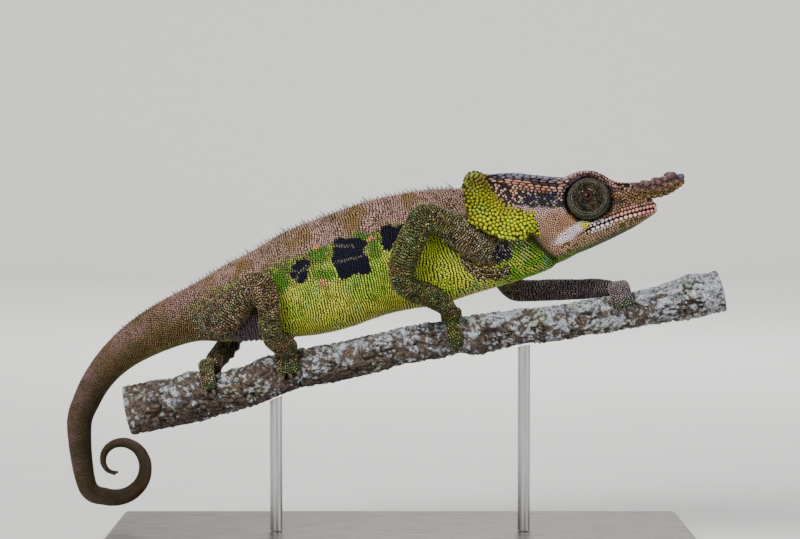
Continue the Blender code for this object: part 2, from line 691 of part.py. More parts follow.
def make_horn(side_name, side, collection, cutters):
    """A flattened horn on the snout with large tubercles along its top."""
    path, heights, thicknesses = horn_path(side)
    angles = np.linspace(0, 2 * math.pi, 8, endpoint=False)
    ways = unit(np.gradient(path, axis=0))
    across = unit(np.cross(ways, (0.0, 0.0, 1.0)))
    up = np.cross(across, ways)
    rings = (
        path[:, None]
        + np.cos(angles)[None, :, None] * across[:, None] * thicknesses[:, None, None]
        + np.sin(angles)[None, :, None] * up[:, None] * heights[:, None, None]
    )
    horn = loft(side_name + "_snout_horn", rings, collection, "head")
    knobs = []
    for x, radius in HORN_TUBERCLES:
        at = int(np.abs(path[:, 0] - x).argmin())
        top = path[at] + up[at] * (heights[at] - radius * HORN_TUBERCLE_SUNK)
        top[0] = x
        knobs.append(ball(f"knob_{x}", top, np.full(3, radius), cutters, "head", detail=1))
    union(horn, knobs)
    return horn


def make_lobe(side_name, side, collection):
    """An ear lobe: a bulging plate between its root on the casque and its free edge, thinner at the edge."""
    mirror = np.array([1.0, side, 1.0])
    root = spline(LOBE_ROOT, LOBE_COLUMNS) * mirror
    edge = spline(LOBE_EDGE, LOBE_COLUMNS) * mirror
    share = np.linspace(0, 1, LOBE_ROWS)
    middle = root[:, None] + (edge - root)[:, None] * share[None, :, None]
    down = np.gradient(middle, axis=1)
    along = np.gradient(middle, axis=0)
    outward = unit(np.cross(along, down)) * side
    outward *= np.sign((outward * (0, side, 0)).sum(-1).mean())
    middle = middle + outward * LOBE_BULGE * np.sin(math.pi * share)[None, :, None]
    half = LOBE_THICKNESS / 2 * (1 - LOBE_THINNING * share**3)[None, :, None]
    outer, inner = middle + outward * half, middle - outward * half
    columns, rows = LOBE_COLUMNS, LOBE_ROWS
    points = np.vstack([outer.reshape(-1, 3), inner.reshape(-1, 3)])
    faces = []
    for layer in (0, columns * rows):
        for i in range(columns - 1):
            for j in range(rows - 1):
                a = layer + i * rows + j
                faces.append((a, a + 1, a + 1 + rows, a + rows))
    border = [i * rows for i in range(columns)] + [(columns - 1) * rows + j for j in range(1, rows)]
    border += [i * rows + rows - 1 for i in reversed(range(columns - 1))] + list(reversed(range(1, rows - 1)))
    for a, b in zip(border, border[1:] + border[:1]):
        faces.append((a, b, b + columns * rows, a + columns * rows))
    return mesh_object(side_name + "_ear_lobe", points, faces, collection, "lobe")


def head_side(xs, zs):
    """The head's half width at each x and z."""
    widths = []
    for x, z, corners in zip(xs, zs, head_corners(np.asarray(xs))):
        ring = closed_curve(x, corners, 120)
        half = ring[ring[:, 1] >= 0]
        half = half[np.argsort(half[:, 2])]
        widths.append(np.interp(z, half[:, 2], half[:, 1]))
    return np.array(widths)


def lip_path():
    """The line of the lips from the right corner of the mouth round the snout to the left corner."""
    line = spline([(x, 0.0, z) for x, z in MOUTH if x < HEAD_FRONT + 0.1], 12)
    widths = head_side(line[:, 0], line[:, 2]) - LIP_SUNK
    left = np.stack([line[:, 0], widths, line[:, 2]], axis=1)
    front = [(HEAD_FRONT + 0.5, 0.0, line[0, 2] + 0.05)]
    return np.vstack([left[::-1] * (1, -1, 1), front, left])


def make_head(collection, cutters):
    """The head with casque, brow, lips, eye sockets and nostrils, then lower jaw, horns, lobes and eyes."""
    skull = loft("head", head_rings(HEAD_RINGS, HEAD_SIDES), collection, "head")
    edge = spline(CASQUE_EDGE, 200)
    knobs = []
    for side in (-1, 1):
        for x, radius in BROW_TUBERCLES:
            near = edge[int(np.abs(edge[:, 0] - x).argmin())]
            at = near * (1, BROW_IN * side, 1) - (0, 0, BROW_SUNK * radius)
            knobs.append(ball(f"brow_{side}_{x}", at, np.full(3, radius), cutters, "head", detail=1))
    lips = lip_path()
    radii = LIP_RADIUS * np.interp(np.linspace(-1, 1, len(lips)), (-1, -0.8, 0.8, 1), (0.5, 1, 1, 0.5))
    knobs.append(loft("lips", tube_rings(lips, radii, 6), cutters, "head"))
    union(skull, knobs)
    made = {}
    for side_name, side in (("right", -1), ("left", 1)):
        turret, eyeball = make_eye(side_name, side, collection, cutters)
        made[turret.name], made[eyeball.name] = turret, eyeball
        hollow = [(r + GAP, h - GAP) for r, h in turret_profile()[:SOCKET_STEPS]] + [SOCKET_MOUTH]
        socket = turned(f"{side_name}_socket", hollow, *eye_frame(side), TURRET_SIDES, cutters, "head")
        socket.hide_render = True
        socket.display_type = "WIRE"
        cut(skull, socket)
        x, z = NOSTRIL
        pit = ball(
            f"{side_name}_nostril", (x, side * head_side([x], [z])[0], z),
            np.full(3, NOSTRIL_RADIUS), cutters,
            "head", detail=1,
        )
        pit.hide_render = True
        pit.display_type = "WIRE"
        cut(skull, pit)
    under, over = jaw_cutters(cutters)
    jaw = bpy.data.objects.new("lower_jaw", skull.data.copy())
    collection.objects.link(jaw)
    jaw.data.materials[0] = material("jaw")
    whole = grown(skull, cutters)
    cut(skull, under)
    cut(jaw, over)
    made["head"], made["lower_jaw"] = skull, jaw
    for side_name, side in (("right", -1), ("left", 1)):
        horn = make_horn(side_name, side, collection, cutters)
        lobe = make_lobe(side_name, side, collection)
        cut(horn, whole)
        cut(lobe, whole)
        made[horn.name], made[lobe.name] = horn, lobe
    return made, whole


def perch_rings():
    """Rings along the branch, swollen at its knots, each with a few shallow flats."""
    rows = spline([(x, 0.0, z, r) for x, z, r in PERCH], PERCH_RINGS)
    angles = np.linspace(0, 2 * math.pi, PERCH_SIDES, endpoint=False)
    rings = tube_rings(rows[:, :3], rows[:, 3], PERCH_SIDES)
    out = unit(rings - rows[:, None, :3])
    swell = np.zeros((PERCH_RINGS, PERCH_SIDES))
    for x, turn in KNOTS:
        near = np.exp(-(((rows[:, 0] - x) / KNOT_LENGTH) ** 2))
        swell += KNOT_HEIGHT * near[:, None] * (0.5 + 0.5 * np.cos(angles - turn))[None]
    swell += PERCH_FLAT_DEPTH * np.sin(PERCH_FLATS * angles[None] + PERCH_TWIST * rows[:, 0, None])
    return rings + out * swell[..., None]


def perch_at(x):
    """The branch's middle, radius and direction at an x."""
    rows = spline([(px, 0.0, z, r) for px, z, r in PERCH], 400)
    at = int(np.abs(rows[:, 0] - x).argmin())
    way = unit(rows[min(at + 1, 399), :3] - rows[max(at - 1, 0), :3])
    return rows[at, :3], rows[at, 3], way


def toe_path(grip_x, side, start, reach, shift):
    """A toe's centre line, bent round the perch from a start angle, 0 at the perch's top."""
    middle, radius, way = perch_at(grip_x)
    outward = np.array([0.0, side, 0.0])
    up = unit(np.cross(way, outward) * side * -1)
    if up[2] < 0:
        up = -up
    share = np.linspace(0, 1, TOE_POINTS)
    angle = np.radians(start + reach * share)
    thick = TOE_RADIUS[0] + (TOE_RADIUS[1] - TOE_RADIUS[0]) * share
    lift = TOE_ARCH * (1 - share) ** 2
    spread = np.outer(np.cos(angle), up) + np.outer(np.sin(angle), outward)
    ring = (radius + thick * TOE_BEDDING + lift)[:, None] * spread
    slide = shift * (TOE_ROOT_SHARE + TOE_SPLAY * share)
    return middle + ring + slide[:, None] * way, thick


def make_toes(limb, kind, side, cutters):
    """Both bundles of toes of one foot, each toe ending in a curved claw."""
    counts = TOE_COUNTS[kind]
    bundles = (
        (counts[0], limb["palm"] - PALM_OFFSETS[0], TOE_OUTER_REACH),
        (counts[1], limb["palm"] - PALM_OFFSETS[1], -TOE_INNER_REACH),
    )
    toes = []
    for bundle, (count, start, reach) in enumerate(bundles):
        for number in range(count):
            shift = (number - (count - 1) / 2) * TOE_PITCH
            path, thick = toe_path(limb["grip_x"], side, start, reach, shift)
            name = f"toe_{limb['grip_x']}_{bundle}_{number}"
            toes.append(loft(name, tube_rings(path, thick, TOE_SIDES), cutters, "limb"))
            tip_way = unit(path[-1] - path[-2])
            inward = unit(perch_at(limb["grip_x"])[0] - path[-1])
            claw = path[-1] + np.outer(CLAW_AHEAD, tip_way) + np.outer(CLAW_INWARD, inward)
            toes.append(loft(name + "_claw", tube_rings(claw, CLAW_RADII, CLAW_SIDES), cutters, "limb"))
    return toes


def limb_part(name, rows, step, rounded, collection):
    """One part of a limb as a tube through its rows, ending in a ball if the next part turns on it."""
    length = np.linalg.norm(np.diff(rows[:, :3], axis=0), axis=1).sum()
    fine = spline(rows, max(4, int(round(length / step)) + 1))
    if rounded:
        way, radius = unit(fine[-1, :3] - fine[-2, :3]), fine[-1, 3]
        bends = np.radians(JOINT_BENDS)
        ball_rows = [[*(fine[-1, :3] + way * radius * math.sin(a)), radius * math.cos(a)] for a in bends]
        fine = np.vstack([fine, ball_rows])
    return loft(name, tube_rings(fine[:, :3], fine[:, 3], LIMB_SIDES), collection, "limb")


def make_limb(key, collection, cutters, clearances):
    """A limb in three named parts, cut clear of the body at its root and of the perch at its toes."""
    limb = LIMBS[key]
    side = limb["side"]
    names = LIMB_PARTS[key]
    made = []
    for number, (name, rows) in enumerate(zip(names, limb["parts"])):
        part = limb_part(name, np.array(rows, float) * (1, side, 1, 1), LIMB_STEP, number < 2, collection)
        before = [grown(earlier, cutters) for earlier in made[-1:]]
        cut(part, *before, *clearances["root"], solver="MANIFOLD")
        made.append(part)
    union(made[2], make_toes(limb, "fore" if "fore" in key else "hind", side, cutters))
    cut(made[2], *clearances["grip"])
    return made


def cylinder(name, foot, height, radius, collection, colour):
    """An upright round rod from its foot."""
    shape = bmesh.new()
    bmesh.ops.create_cone(
        shape, cap_ends=True, segments=ROD_SIDES, radius1=radius * MM, radius2=radius * MM, depth=height * MM
    )
    bmesh.ops.translate(shape, vec=np.array(foot) * MM + (0, 0, height * MM / 2), verts=shape.verts)
    mesh = bpy.data.meshes.new(name)
    shape.to_mesh(mesh)
    shape.free()
    mesh.shade_smooth()
    mesh.set_sharp_from_angle(angle=math.radians(ROD_SMOOTH_ANGLE))
    mesh.materials.append(material(colour))
    obj = bpy.data.objects.new(name, mesh)
    collection.objects.link(obj)
    return obj


def make_stand(collection, perch_clearance):
    """A flat base with rounded edges and two rods up to the perch."""
    shape = bmesh.new()
    bmesh.ops.create_cube(shape, size=1.0)
    bmesh.ops.scale(shape, vec=(BASE_LENGTH * MM, BASE_WIDTH * MM, BASE_HEIGHT * MM), verts=shape.verts)
    bmesh.ops.translate(shape, vec=(0, 0, BASE_HEIGHT * MM / 2), verts=shape.verts)
    mesh = bpy.data.meshes.new("stand_base")
    shape.to_mesh(mesh)
    shape.free()
    mesh.materials.append(material("stand"))
    base = bpy.data.objects.new("stand_base", mesh)
    collection.objects.link(base)
    bevel = base.modifiers.new("edges", "BEVEL")
    bevel.width = BASE_EDGE * MM
    bevel.segments = 2
    made = {"stand_base": base}
    for place, x in ROD_PLACES.items():
        foot, top = BASE_HEIGHT + GAP, perch_at(x)[0][2]
        rod = cylinder(f"stand_rod_{place}", (x, 0.0, foot), top - foot, ROD_RADIUS, collection, "rod")
        cut(rod, perch_clearance)
        made[rod.name] = rod
    return made


def main():
    clear_scene()
    collection = new_collection("green_eared_chameleon")
    cutters = new_collection("cutters")
    perch = loft("perch", perch_rings(), collection, "bark")
    perch_clearance = grown(perch, cutters)
    make_stand(collection, perch_clearance)
    body = make_body(collection, cutters)
    near = {name: grown(body[name], cutters) for name in ("neck", "trunk", "tail_root")}
    head, skull_clearance = make_head(collection, cutters)
    for name in ("neck", "trunk"):
        cut(body[name], skull_clearance)
    lobes = {}
    for side in ("right", "left"):
        lobe = head[side + "_ear_lobe"]
        cut(lobe, near["neck"], near["trunk"])
        lobes[side] = grown(lobe, cutters)
    for key in LIMBS:
        side, pair = key.split("_")
        root = [near["trunk"], *((near["neck"], lobes[side]) if pair == "fore" else (near["tail_root"],))]
        make_limb(key, collection, cutters, {"root": root, "grip": [perch_clearance, near["trunk"]]})
    for helper in list(cutters.objects):
        bpy.data.objects.remove(helper, do_unlink=True)
    bpy.data.collections.remove(cutters)


main()
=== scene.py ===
"""Looks of a life-size green-eared chameleon on a branch over a plain stand.

Lengths are millimetres inside the functions and metres once they reach a mesh. +X is the way the animal
faces, +Y is its left side and +Z is up, as in the frame.
"""

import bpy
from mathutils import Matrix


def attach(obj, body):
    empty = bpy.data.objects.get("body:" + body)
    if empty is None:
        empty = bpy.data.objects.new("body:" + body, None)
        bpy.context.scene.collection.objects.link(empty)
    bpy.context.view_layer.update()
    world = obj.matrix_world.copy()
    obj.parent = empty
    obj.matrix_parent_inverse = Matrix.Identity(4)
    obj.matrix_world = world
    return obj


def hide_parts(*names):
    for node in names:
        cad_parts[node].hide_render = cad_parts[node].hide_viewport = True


bl_info = {
    "name": "Green-eared chameleon model",
    "version": (1, 0, 0),
    "blender": (4, 5, 0),
    "location": "3D View > Sidebar > Chameleon",
    "description": "Dresses a life-size green-eared chameleon, its branch and its stand",
    "category": "Add Mesh",
}

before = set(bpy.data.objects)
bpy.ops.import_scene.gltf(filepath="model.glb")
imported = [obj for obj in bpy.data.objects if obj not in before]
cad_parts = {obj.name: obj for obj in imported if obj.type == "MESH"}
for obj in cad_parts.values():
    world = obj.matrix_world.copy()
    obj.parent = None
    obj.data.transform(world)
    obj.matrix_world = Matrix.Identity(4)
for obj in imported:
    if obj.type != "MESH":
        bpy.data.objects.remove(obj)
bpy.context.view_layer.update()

import math
from types import SimpleNamespace

import bpy
import numpy as np
from bpy.props import FloatProperty, FloatVectorProperty, IntProperty, PointerProperty
from mathutils import Vector
from mathutils.bvhtree import BVHTree
from mathutils.kdtree import KDTree

MM = 0.001
CURVE_STEPS = 24

# Spine from the throat back to the end of the straight tail: x, y, z, half height and half width
SPINE = [
    (48.7, 0.0, 96.9, 8.0, 6.2), (42.9, 0.0, 96.9, 12.0, 7.6), (33.4, 0.0, 94.5, 13.3, 8.3),
    (23.8, 0.0, 92.8, 14.6, 9.2), (16.2, 0.0, 91.6, 15.7, 9.9), (8.7, -0.2, 90.2, 16.5, 10.4),
    (0.0, -0.4, 88.7, 16.5, 10.8), (-6.1, -0.5, 87.3, 16.4, 11.0), (-13.0, -0.5, 85.0, 16.2, 11.0),
    (-20.0, -0.4, 82.5, 16.2, 10.8), (-29.0, 0.0, 79.7, 15.4, 10.2), (-37.7, 0.5, 76.9, 13.4, 9.3),
    (-46.4, 1.2, 74.5, 11.7, 8.4), (-53.6, 2.0, 72.5, 9.8, 7.5), (-60.9, 3.0, 70.5, 7.9, 6.5),
    (-68.1, 4.4, 67.6, 7.0, 5.8), (-75.4, 6.0, 63.7, 6.2, 5.2), (-82.1, 7.6, 58.9, 5.3, 4.6),
    (-87.9, 9.0, 52.8, 4.6, 4.1), (-92.2, 10.0, 45.5, 4.2, 3.7), (-94.7, 10.4, 37.0, 3.8, 3.3),
]
COIL_CENTRE = (-83.5, 26.1)
COIL_RADII = (11.7, 2.6)
COIL_TURNS = 1.25
COIL_SIDEWAYS = (10.6, 12.6)
COIL_THICKNESS = (3.4, 0.8)
FLANK_FULLNESS = 0.18
RIDGE_HEIGHT = 0.05
RIDGE_WIDTH = 0.35
VENT_X = -55.5

# Head: feature lines from the back of the casque to the snout, each x, half width and z
CROWN = [
    (22.3, 0, 111.1), (31.9, 0, 112.2), (42.9, 0, 111.2), (52.2, 0, 110.6), (59.7, 0, 109.3),
    (67.9, 0, 107.2), (71.5, 0, 105.6), (73.3, 0, 103.5),
]
CASQUE_EDGE = [
    (22.3, 3.2, 110.8), (27.6, 6.6, 111.6), (37.7, 8.4, 110.8), (46.4, 8.8, 110.2), (50.2, 9.1, 111.9),
    (54.2, 9.0, 113.0), (58.0, 8.2, 111.9), (61.5, 6.8, 109.9), (67.9, 5.0, 109.3), (71.5, 3.9, 107.6),
    (73.3, 2.4, 103.8),
]
TEMPLE = [
    (22.3, 3.6, 108.8), (31.9, 8.6, 107.3), (42.9, 9.6, 105.6), (54.5, 8.2, 105.0), (63.8, 6.2, 105.9),
    (71.0, 4.3, 105.4), (73.3, 2.8, 103.2),
]
CHEEK = [
    (22.3, 3.4, 107.3), (31.9, 9.8, 103.0), (42.9, 12.0, 98.9), (52.2, 10.9, 98.3), (59.7, 8.8, 100.6),
    (67.9, 6.1, 103.0), (73.3, 3.0, 102.4),
]
JAW_SIDE = [
    (22.3, 2.4, 106.4), (31.9, 8.8, 99.8), (42.9, 11.3, 91.9), (52.2, 9.9, 93.7), (59.7, 8.2, 96.9),
    (67.9, 5.8, 99.9), (73.3, 2.8, 101.4),
]
JAW_EDGE = [
    (22.3, 1.2, 106.0), (31.9, 6.0, 97.7), (42.9, 8.2, 87.9), (52.2, 7.4, 90.3), (59.7, 6.1, 93.6),
    (67.9, 4.2, 97.3), (73.3, 1.8, 100.4),
]
CHIN = [
    (22.3, 0, 105.9), (31.9, 0, 96.9), (42.9, 0, 86.1), (52.2, 0, 89.0), (59.7, 0, 92.2), (67.9, 0, 96.3),
    (73.3, 0, 99.8),
]
SNOUT_CAP = [(0.86, 0.5), (0.5, 1.0)]
HEAD_BACK = 22.3
HEAD_FRONT = 73.3
MOUTH = [
    (73.3, 102.0), (70.2, 101.4), (67.0, 100.7), (62.0, 99.3), (58.6, 98.0), (55.2, 96.8), (52.8, 95.5),
    (50.2, 93.6),
]
NOSTRIL = (67.6, 105.0)

# Eyes: the turret's place and radius, and the way it looks
EYE = (53.9, 7.9, 104.6)
TURRET_RADIUS = 6.15
TURRET_HEIGHT = 5.3
EYEBALL_RADIUS = 2.4
EYEBALL_SUNK = 2.55
RING_RADII = (5.85, 5.25, 4.6)
EYE_FORWARD = -8.0
EYE_UP = 14.0

# Branch: sides and rings of its mesh, shares of the way in over a sawn end, and lichen along its length
BRANCH_SIDES = 118
BRANCH_RINGS = 560
END_SHARES = (0.25, 0.5, 0.75, 0.97)
LICHEN_ALONG = ((-79, -30, 20, 93), (-0.45, -0.2, 0.08, 0.3))

# Crest: where it starts and ends, how deep the spines stand in the back and how thick they are
CREST_START_X = 15.0
CREST_END_X = -84.0
CREST_TALL_EVERY = 5
CREST_SUNK = 0.8
CREST_ROOT_RADIUS = 0.75

# Granules between the horns' tubercles: sides, spacing, width and the furthest x that has any
GRANULE_SIDES = 6
GRANULE_SPACE = 0.5
GRANULE_WIDTH = 0.62
GRANULES_END_X = 81.2

# Snout horns: x, half distance apart, z, half height and half thickness
SNOUT_HORN = [
    (67.6, 4.1, 107.5, 1.5, 1.1), (71.0, 3.9, 107.3, 2.1, 1.2), (75.2, 3.6, 107.8, 2.2, 1.2),
    (78.6, 3.4, 109.2, 1.9, 1.1), (81.6, 3.3, 110.2, 1.1, 0.8),
]
HORN_TOP = [
    (65.4, 108.6, 0.75), (67.0, 108.6, 0.95), (69.0, 108.8, 0.85), (70.9, 109.0, 1.25), (72.6, 109.3, 0.8),
    (74.3, 109.7, 1.4), (76.2, 110.3, 0.95), (78.2, 111.1, 1.6),
]
HORN_MIDDLE = [
    (68.0, 107.4, 0.8), (69.6, 107.2, 0.85), (72.7, 107.9, 0.95), (76.1, 108.8, 1.05), (71.2, 106.9, 0.85),
    (74.5, 107.3, 0.95), (77.8, 108.9, 0.95), (79.5, 109.7, 1.0), (76.4, 107.3, 0.7), (78.4, 107.9, 0.7),
]
HORN_LOWER = [
    (67.8, 106.3, 0.75), (69.5, 105.8, 0.8), (71.3, 105.5, 0.85), (73.1, 105.6, 0.85), (74.9, 105.9, 0.85),
    (76.7, 106.5, 0.8), (78.3, 107.2, 0.75), (79.6, 108.1, 0.75), (80.6, 109.0, 0.75), (81.3, 109.9, 0.6),
]
HORN_TIP = (80.9, 111.0, 1.05)

# Ear lobes: points on the root along the casque and on the free edge, each x, half width and z
LOBE_ROOT = [
    (25.0, 1.8, 110.4), (25.6, 6.4, 107.6), (28.2, 8.4, 103.9), (32.2, 9.6, 101.3), (37.4, 10.5, 100.8),
]
LOBE_EDGE = [
    (19.6, 2.4, 112.3), (17.8, 9.0, 108.6), (17.7, 12.4, 104.2), (19.8, 14.3, 98.6), (25.2, 15.0, 94.6),
    (30.2, 14.6, 93.1), (34.9, 13.4, 93.2), (38.4, 11.6, 95.4),
]
LOBE_THICKNESS = 1.6
LOBE_BULGE = 1.3

# Limbs: rows of x, half distance from the midline, z and radius, then where each grips the branch
LIMBS = {
    "right_fore": {
        "side": -1, "grip_x": 15.8, "palm": 50.0, "toes": (2, 3),
        "rows": [
            (27.8, 3.0, 88.7, 5.2), (22.6, 8.6, 91.1, 5.0), (16.8, 12.2, 94.8, 4.4), (11.6, 14.4, 98.2, 4.2),
            (7.2, 15.4, 99.8, 4.1), (4.4, 15.9, 95.4, 4.2), (2.2, 16.0, 90.6, 4.4), (0.6, 15.6, 85.8, 4.2),
            (0.8, 14.7, 81.4, 3.8), (3.8, 13.1, 78.8, 3.5), (8.2, 11.0, 77.0, 3.3), (12.6, 8.4, 74.4, 3.0),
            (15.0, 6.0, 71.6, 2.4),
        ],
    },
    "left_fore": {
        "side": 1, "grip_x": 64.6, "palm": 26.0, "toes": (2, 3),
        "rows": [
            (28.4, 3.0, 88.4, 5.0), (29.6, 8.2, 84.9, 4.6), (31.4, 10.0, 80.8, 4.0), (34.0, 10.6, 78.0, 3.7),
            (38.0, 10.6, 77.5, 3.4), (46.0, 9.8, 77.8, 3.4), (52.4, 8.6, 78.0, 3.2), (57.1, 7.2, 78.3, 3.2),
            (61.4, 5.0, 78.2, 2.8), (64.2, 2.9, 77.7, 2.3),
        ],
    },
    "right_hind": {
        "side": -1, "grip_x": -31.4, "palm": 24.0, "toes": (3, 2),
        "rows": [
            (-53.6, 2.4, 69.0, 6.3), (-50.4, 6.4, 71.4, 6.2), (-46.6, 10.2, 75.2, 5.1),
            (-43.0, 12.4, 79.0, 4.3),
            (-39.8, 13.1, 80.8, 3.8), (-37.9, 13.4, 77.4, 3.6), (-37.2, 13.3, 73.0, 3.4),
            (-37.0, 12.7, 68.5, 3.3),
            (-36.2, 11.3, 65.3, 3.3), (-34.6, 8.8, 63.4, 3.3), (-32.8, 5.4, 62.3, 3.3),
            (-31.6, 2.8, 61.6, 2.8),
        ],
    },
    "left_hind": {
        "side": 1, "grip_x": -54.4, "palm": 24.0, "toes": (3, 2),
        "rows": [
            (-52.6, 4.4, 69.6, 6.0), (-49.2, 9.0, 71.6, 5.3), (-45.8, 12.8, 73.8, 4.5),
            (-43.6, 14.5, 74.2, 4.0),
            (-46.0, 14.6, 69.6, 3.6), (-49.2, 13.6, 64.6, 3.7), (-51.5, 11.6, 60.4, 3.5),
            (-53.2, 9.0, 58.3, 3.3),
            (-54.2, 6.0, 57.1, 3.1), (-54.4, 3.2, 56.4, 2.6),
        ],
    },
}
SKIN_SHADE = 0.7
LIMB_PITCH = 0.8
TOE_PATH_PITCH = 0.7
TOE_PITCH = 2.15
TOE_RADIUS = (1.65, 1.15)
TOE_OUTER_REACH = 78.0
TOE_INNER_REACH = 92.0
TOE_SPLAY = 0.35

# Branch: x, z and radius along it, and its knots as x and turn
PERCH = [
    (-79.0, 43.0, 7.2), (-66.0, 45.8, 7.0), (-54.5, 47.9, 6.4), (-43.5, 50.2, 5.9), (-32.0, 54.2, 5.7),
    (-17.0, 57.6, 5.5), (0.0, 61.6, 5.4), (14.5, 64.4, 5.2), (29.0, 66.4, 5.2), (46.0, 69.0, 5.2),
    (64.0, 71.5, 5.2), (78.0, 74.5, 5.5), (93.0, 78.3, 6.2),
]
KNOTS = [(-60.0, 0.5), (-38.0, -0.9), (22.0, 2.2), (83.0, 1.0)]

# Lights: place and width in metres. Then the backdrop's middle, and the pale floor's rings in millimetres
LIGHTS = {
    "key": ((-0.42, -0.62, 0.66), 0.42), "fill": ((0.75, -0.55, 0.30), 0.6),
    "rim": ((0.15, 0.75, 0.62), 0.5), "backdrop": ((0.0, 0.9, 1.5), 1.6),
}
BACKDROP_MIDDLE = (0.0, 2.6, 0.5)
FLOOR_RADIUS = 3200.0
FLOOR_RISE = 1500.0
FLOOR_FLAT_SHARE = 0.55
FLOOR_SIDES = 96

# Markings on each side of the body, as x, z, half length, half height and tilt in degrees
NAVY_BLOTCHES = [
    (-14.8, 88.6, 4.6, 4.6, 0), (-10.7, 87.2, 2.1, 2.0, 0), (-15.6, 84.2, 2.4, 1.8, 0),
    (-16.8, 92.2, 2.0, 1.4, 0),
    (-12.6, 91.9, 2.4, 1.6, 0), (-28.8, 83.6, 2.5, 3.4, 0), (-27.4, 86.2, 1.4, 1.2, 0),
    (-3.2, 94.6, 2.7, 2.6, 0),
    (-4.0, 92.2, 1.5, 2.2, 10), (0.4, 95.6, 2.6, 1.7, 30), (-13.0, 85.4, 4.6, 2.1, 0),
]
NAVY_CRACKS = [
    (-20.0, 86.3, -15.0, 87.4), (-15.0, 87.4, -9.0, 88.9), (-18.2, 91.6, -13.0, 91.2),
    (-31.4, 84.4, -28.9, 83.6), (-28.9, 83.6, -26.6, 85.6), (-28.9, 83.6, -29.4, 80.6),
]
NAVY_NECK = (29.2, 89.6, 3.0, 2.8, 0)
EMERALD_PATCHES = [
    (-23.3, 88.9, 2.4, 2.3, 0), (-22.0, 82.9, 3.3, 1.9, 0), (-9.4, 94.6, 3.2, 1.7, 10),
    (-7.2, 90.0, 1.7, 2.6, 0),
    (-34.0, 81.0, 2.0, 3.0, 10), (13.0, 92.5, 2.6, 2.2, 10), (-19.0, 94.8, 2.6, 0.9, 10),
]
SALMON_SPOTS = [
    (-8.4, 93.4, 1.9, 0.75, 24), (-24.2, 90.9, 1.1, 0.9, 0), (-22.2, 80.9, 1.6, 1.3, 0),
    (-35.5, 75.7, 1.1, 0.9, 0),
    (-34.5, 72.8, 0.9, 0.9, 0),
]
OCHRE_PATCHES = [
    (3.4, 104.6, 3.0, 1.7, 15), (-13.1, 99.5, 3.7, 3.0, 60), (-28.8, 93.0, 3.9, 3.2, 60),
    (-45.6, 84.5, 3.8, 2.0, 30),
    (-55.3, 77.5, 3.4, 2.7, 60),
]
DARK_BAND = ((23.4, 28.5, 32.8, 37.1, 45.9, 49.5), (108.2, 106.9, 105.5, 104.7, 104.6, 103.5))
DARK_BAND_WIDTH = ((23, 30, 36), (2.9, 2.7, 2.1))
# The fold behind the jaw, as lines x, z to x, z: a groove in the skin, darkened with painted shade.
JAW_FOLD = [(36.5, 95.2, 38.6, 92.6), (38.6, 92.6, 41.8, 89.4), (41.8, 89.4, 44.4, 87.4)]
FOLD_LINE = [(17.4, 88.9), (20.8, 85.8), (24.2, 84.5), (29.0, 84.5), (31.4, 85.4)]
FOLD_DROPS = (0.0, 1.25, 2.5)
# Lines x, z to x, z of painted shade along the snout under the horns.
SNOUT_SHADE = [(59.6, 104.4, 63.4, 103.9), (63.4, 103.9, 67.4, 103.3)]


def paint(name, description, red, green, blue):
    """A colour setting whose default is given in the 0 to 255 values of a paint chart."""
    chart = np.array([red, green, blue]) / 255
    linear = np.where(chart <= 0.04045, chart / 12.92, ((chart + 0.055) / 1.055) ** 2.4)
    return FloatVectorProperty(
        name=name, description=description, subtype="COLOR", size=3, min=0.0, max=1.0, default=linear.tolist()
    )


def size(name, description, millimetres):
    """A length setting in metres whose default is given in millimetres."""
    return FloatProperty(name=name, description=description, unit="LENGTH", min=0.0, default=millimetres * MM)


def power(name, description, watts):
    """A light's power in watts."""
    return FloatProperty(name=name, description=description, unit="POWER", min=0.0, default=watts)


class ChameleonSizes(bpy.types.PropertyGroup):
    """Sizes of the skin's detail and of the scales"""

    voxel: size("Skin detail", "Grain of the fused skin before it is thinned", 0.5)
    coat: size("Coat depth", "How far the skin lies inside the outline that the scales fill", 0.3)
    body_row: size("Body row", "Distance between the upright rows of scales on the trunk", 0.7)
    body_step: size("Body scale", "Distance between the scales along a row", 0.58)
    tail_step: size("Tail row", "Distance between the rings of scales at the root of the tail", 0.68)
    limb_row: size("Limb row", "Distance between the rings of granules round the legs", 0.78)
    limb_step: size("Limb granule", "Distance between granules on the legs", 0.62)
    cheek_step: size("Cheek granule", "Distance between granules on the cheeks", 0.52)
    plate_step: size("Casque plate", "Distance between plates on the casque", 1.35)
    lobe_step: size("Lobe granule", "Distance between the beads of the ear lobes", 0.98)
    groove: size("Groove", "Width of the dark groove between scales", 0.06)
    row_groove: size("Row groove", "Width of the dark groove between rows on the flank", 0.2)
    crest_step: size("Crest step", "Distance between spines along the back", 1.25)
    crest_tall: size("Tall spine", "Length of every fifth spine", 1.6)
    crest_short: size("Short spine", "Length of the spines between", 0.85)
    claw: size("Claw", "Length of a claw", 2.1)
    skin_faces: IntProperty(name="Skin faces", description="Triangles left in the skin", default=188000)


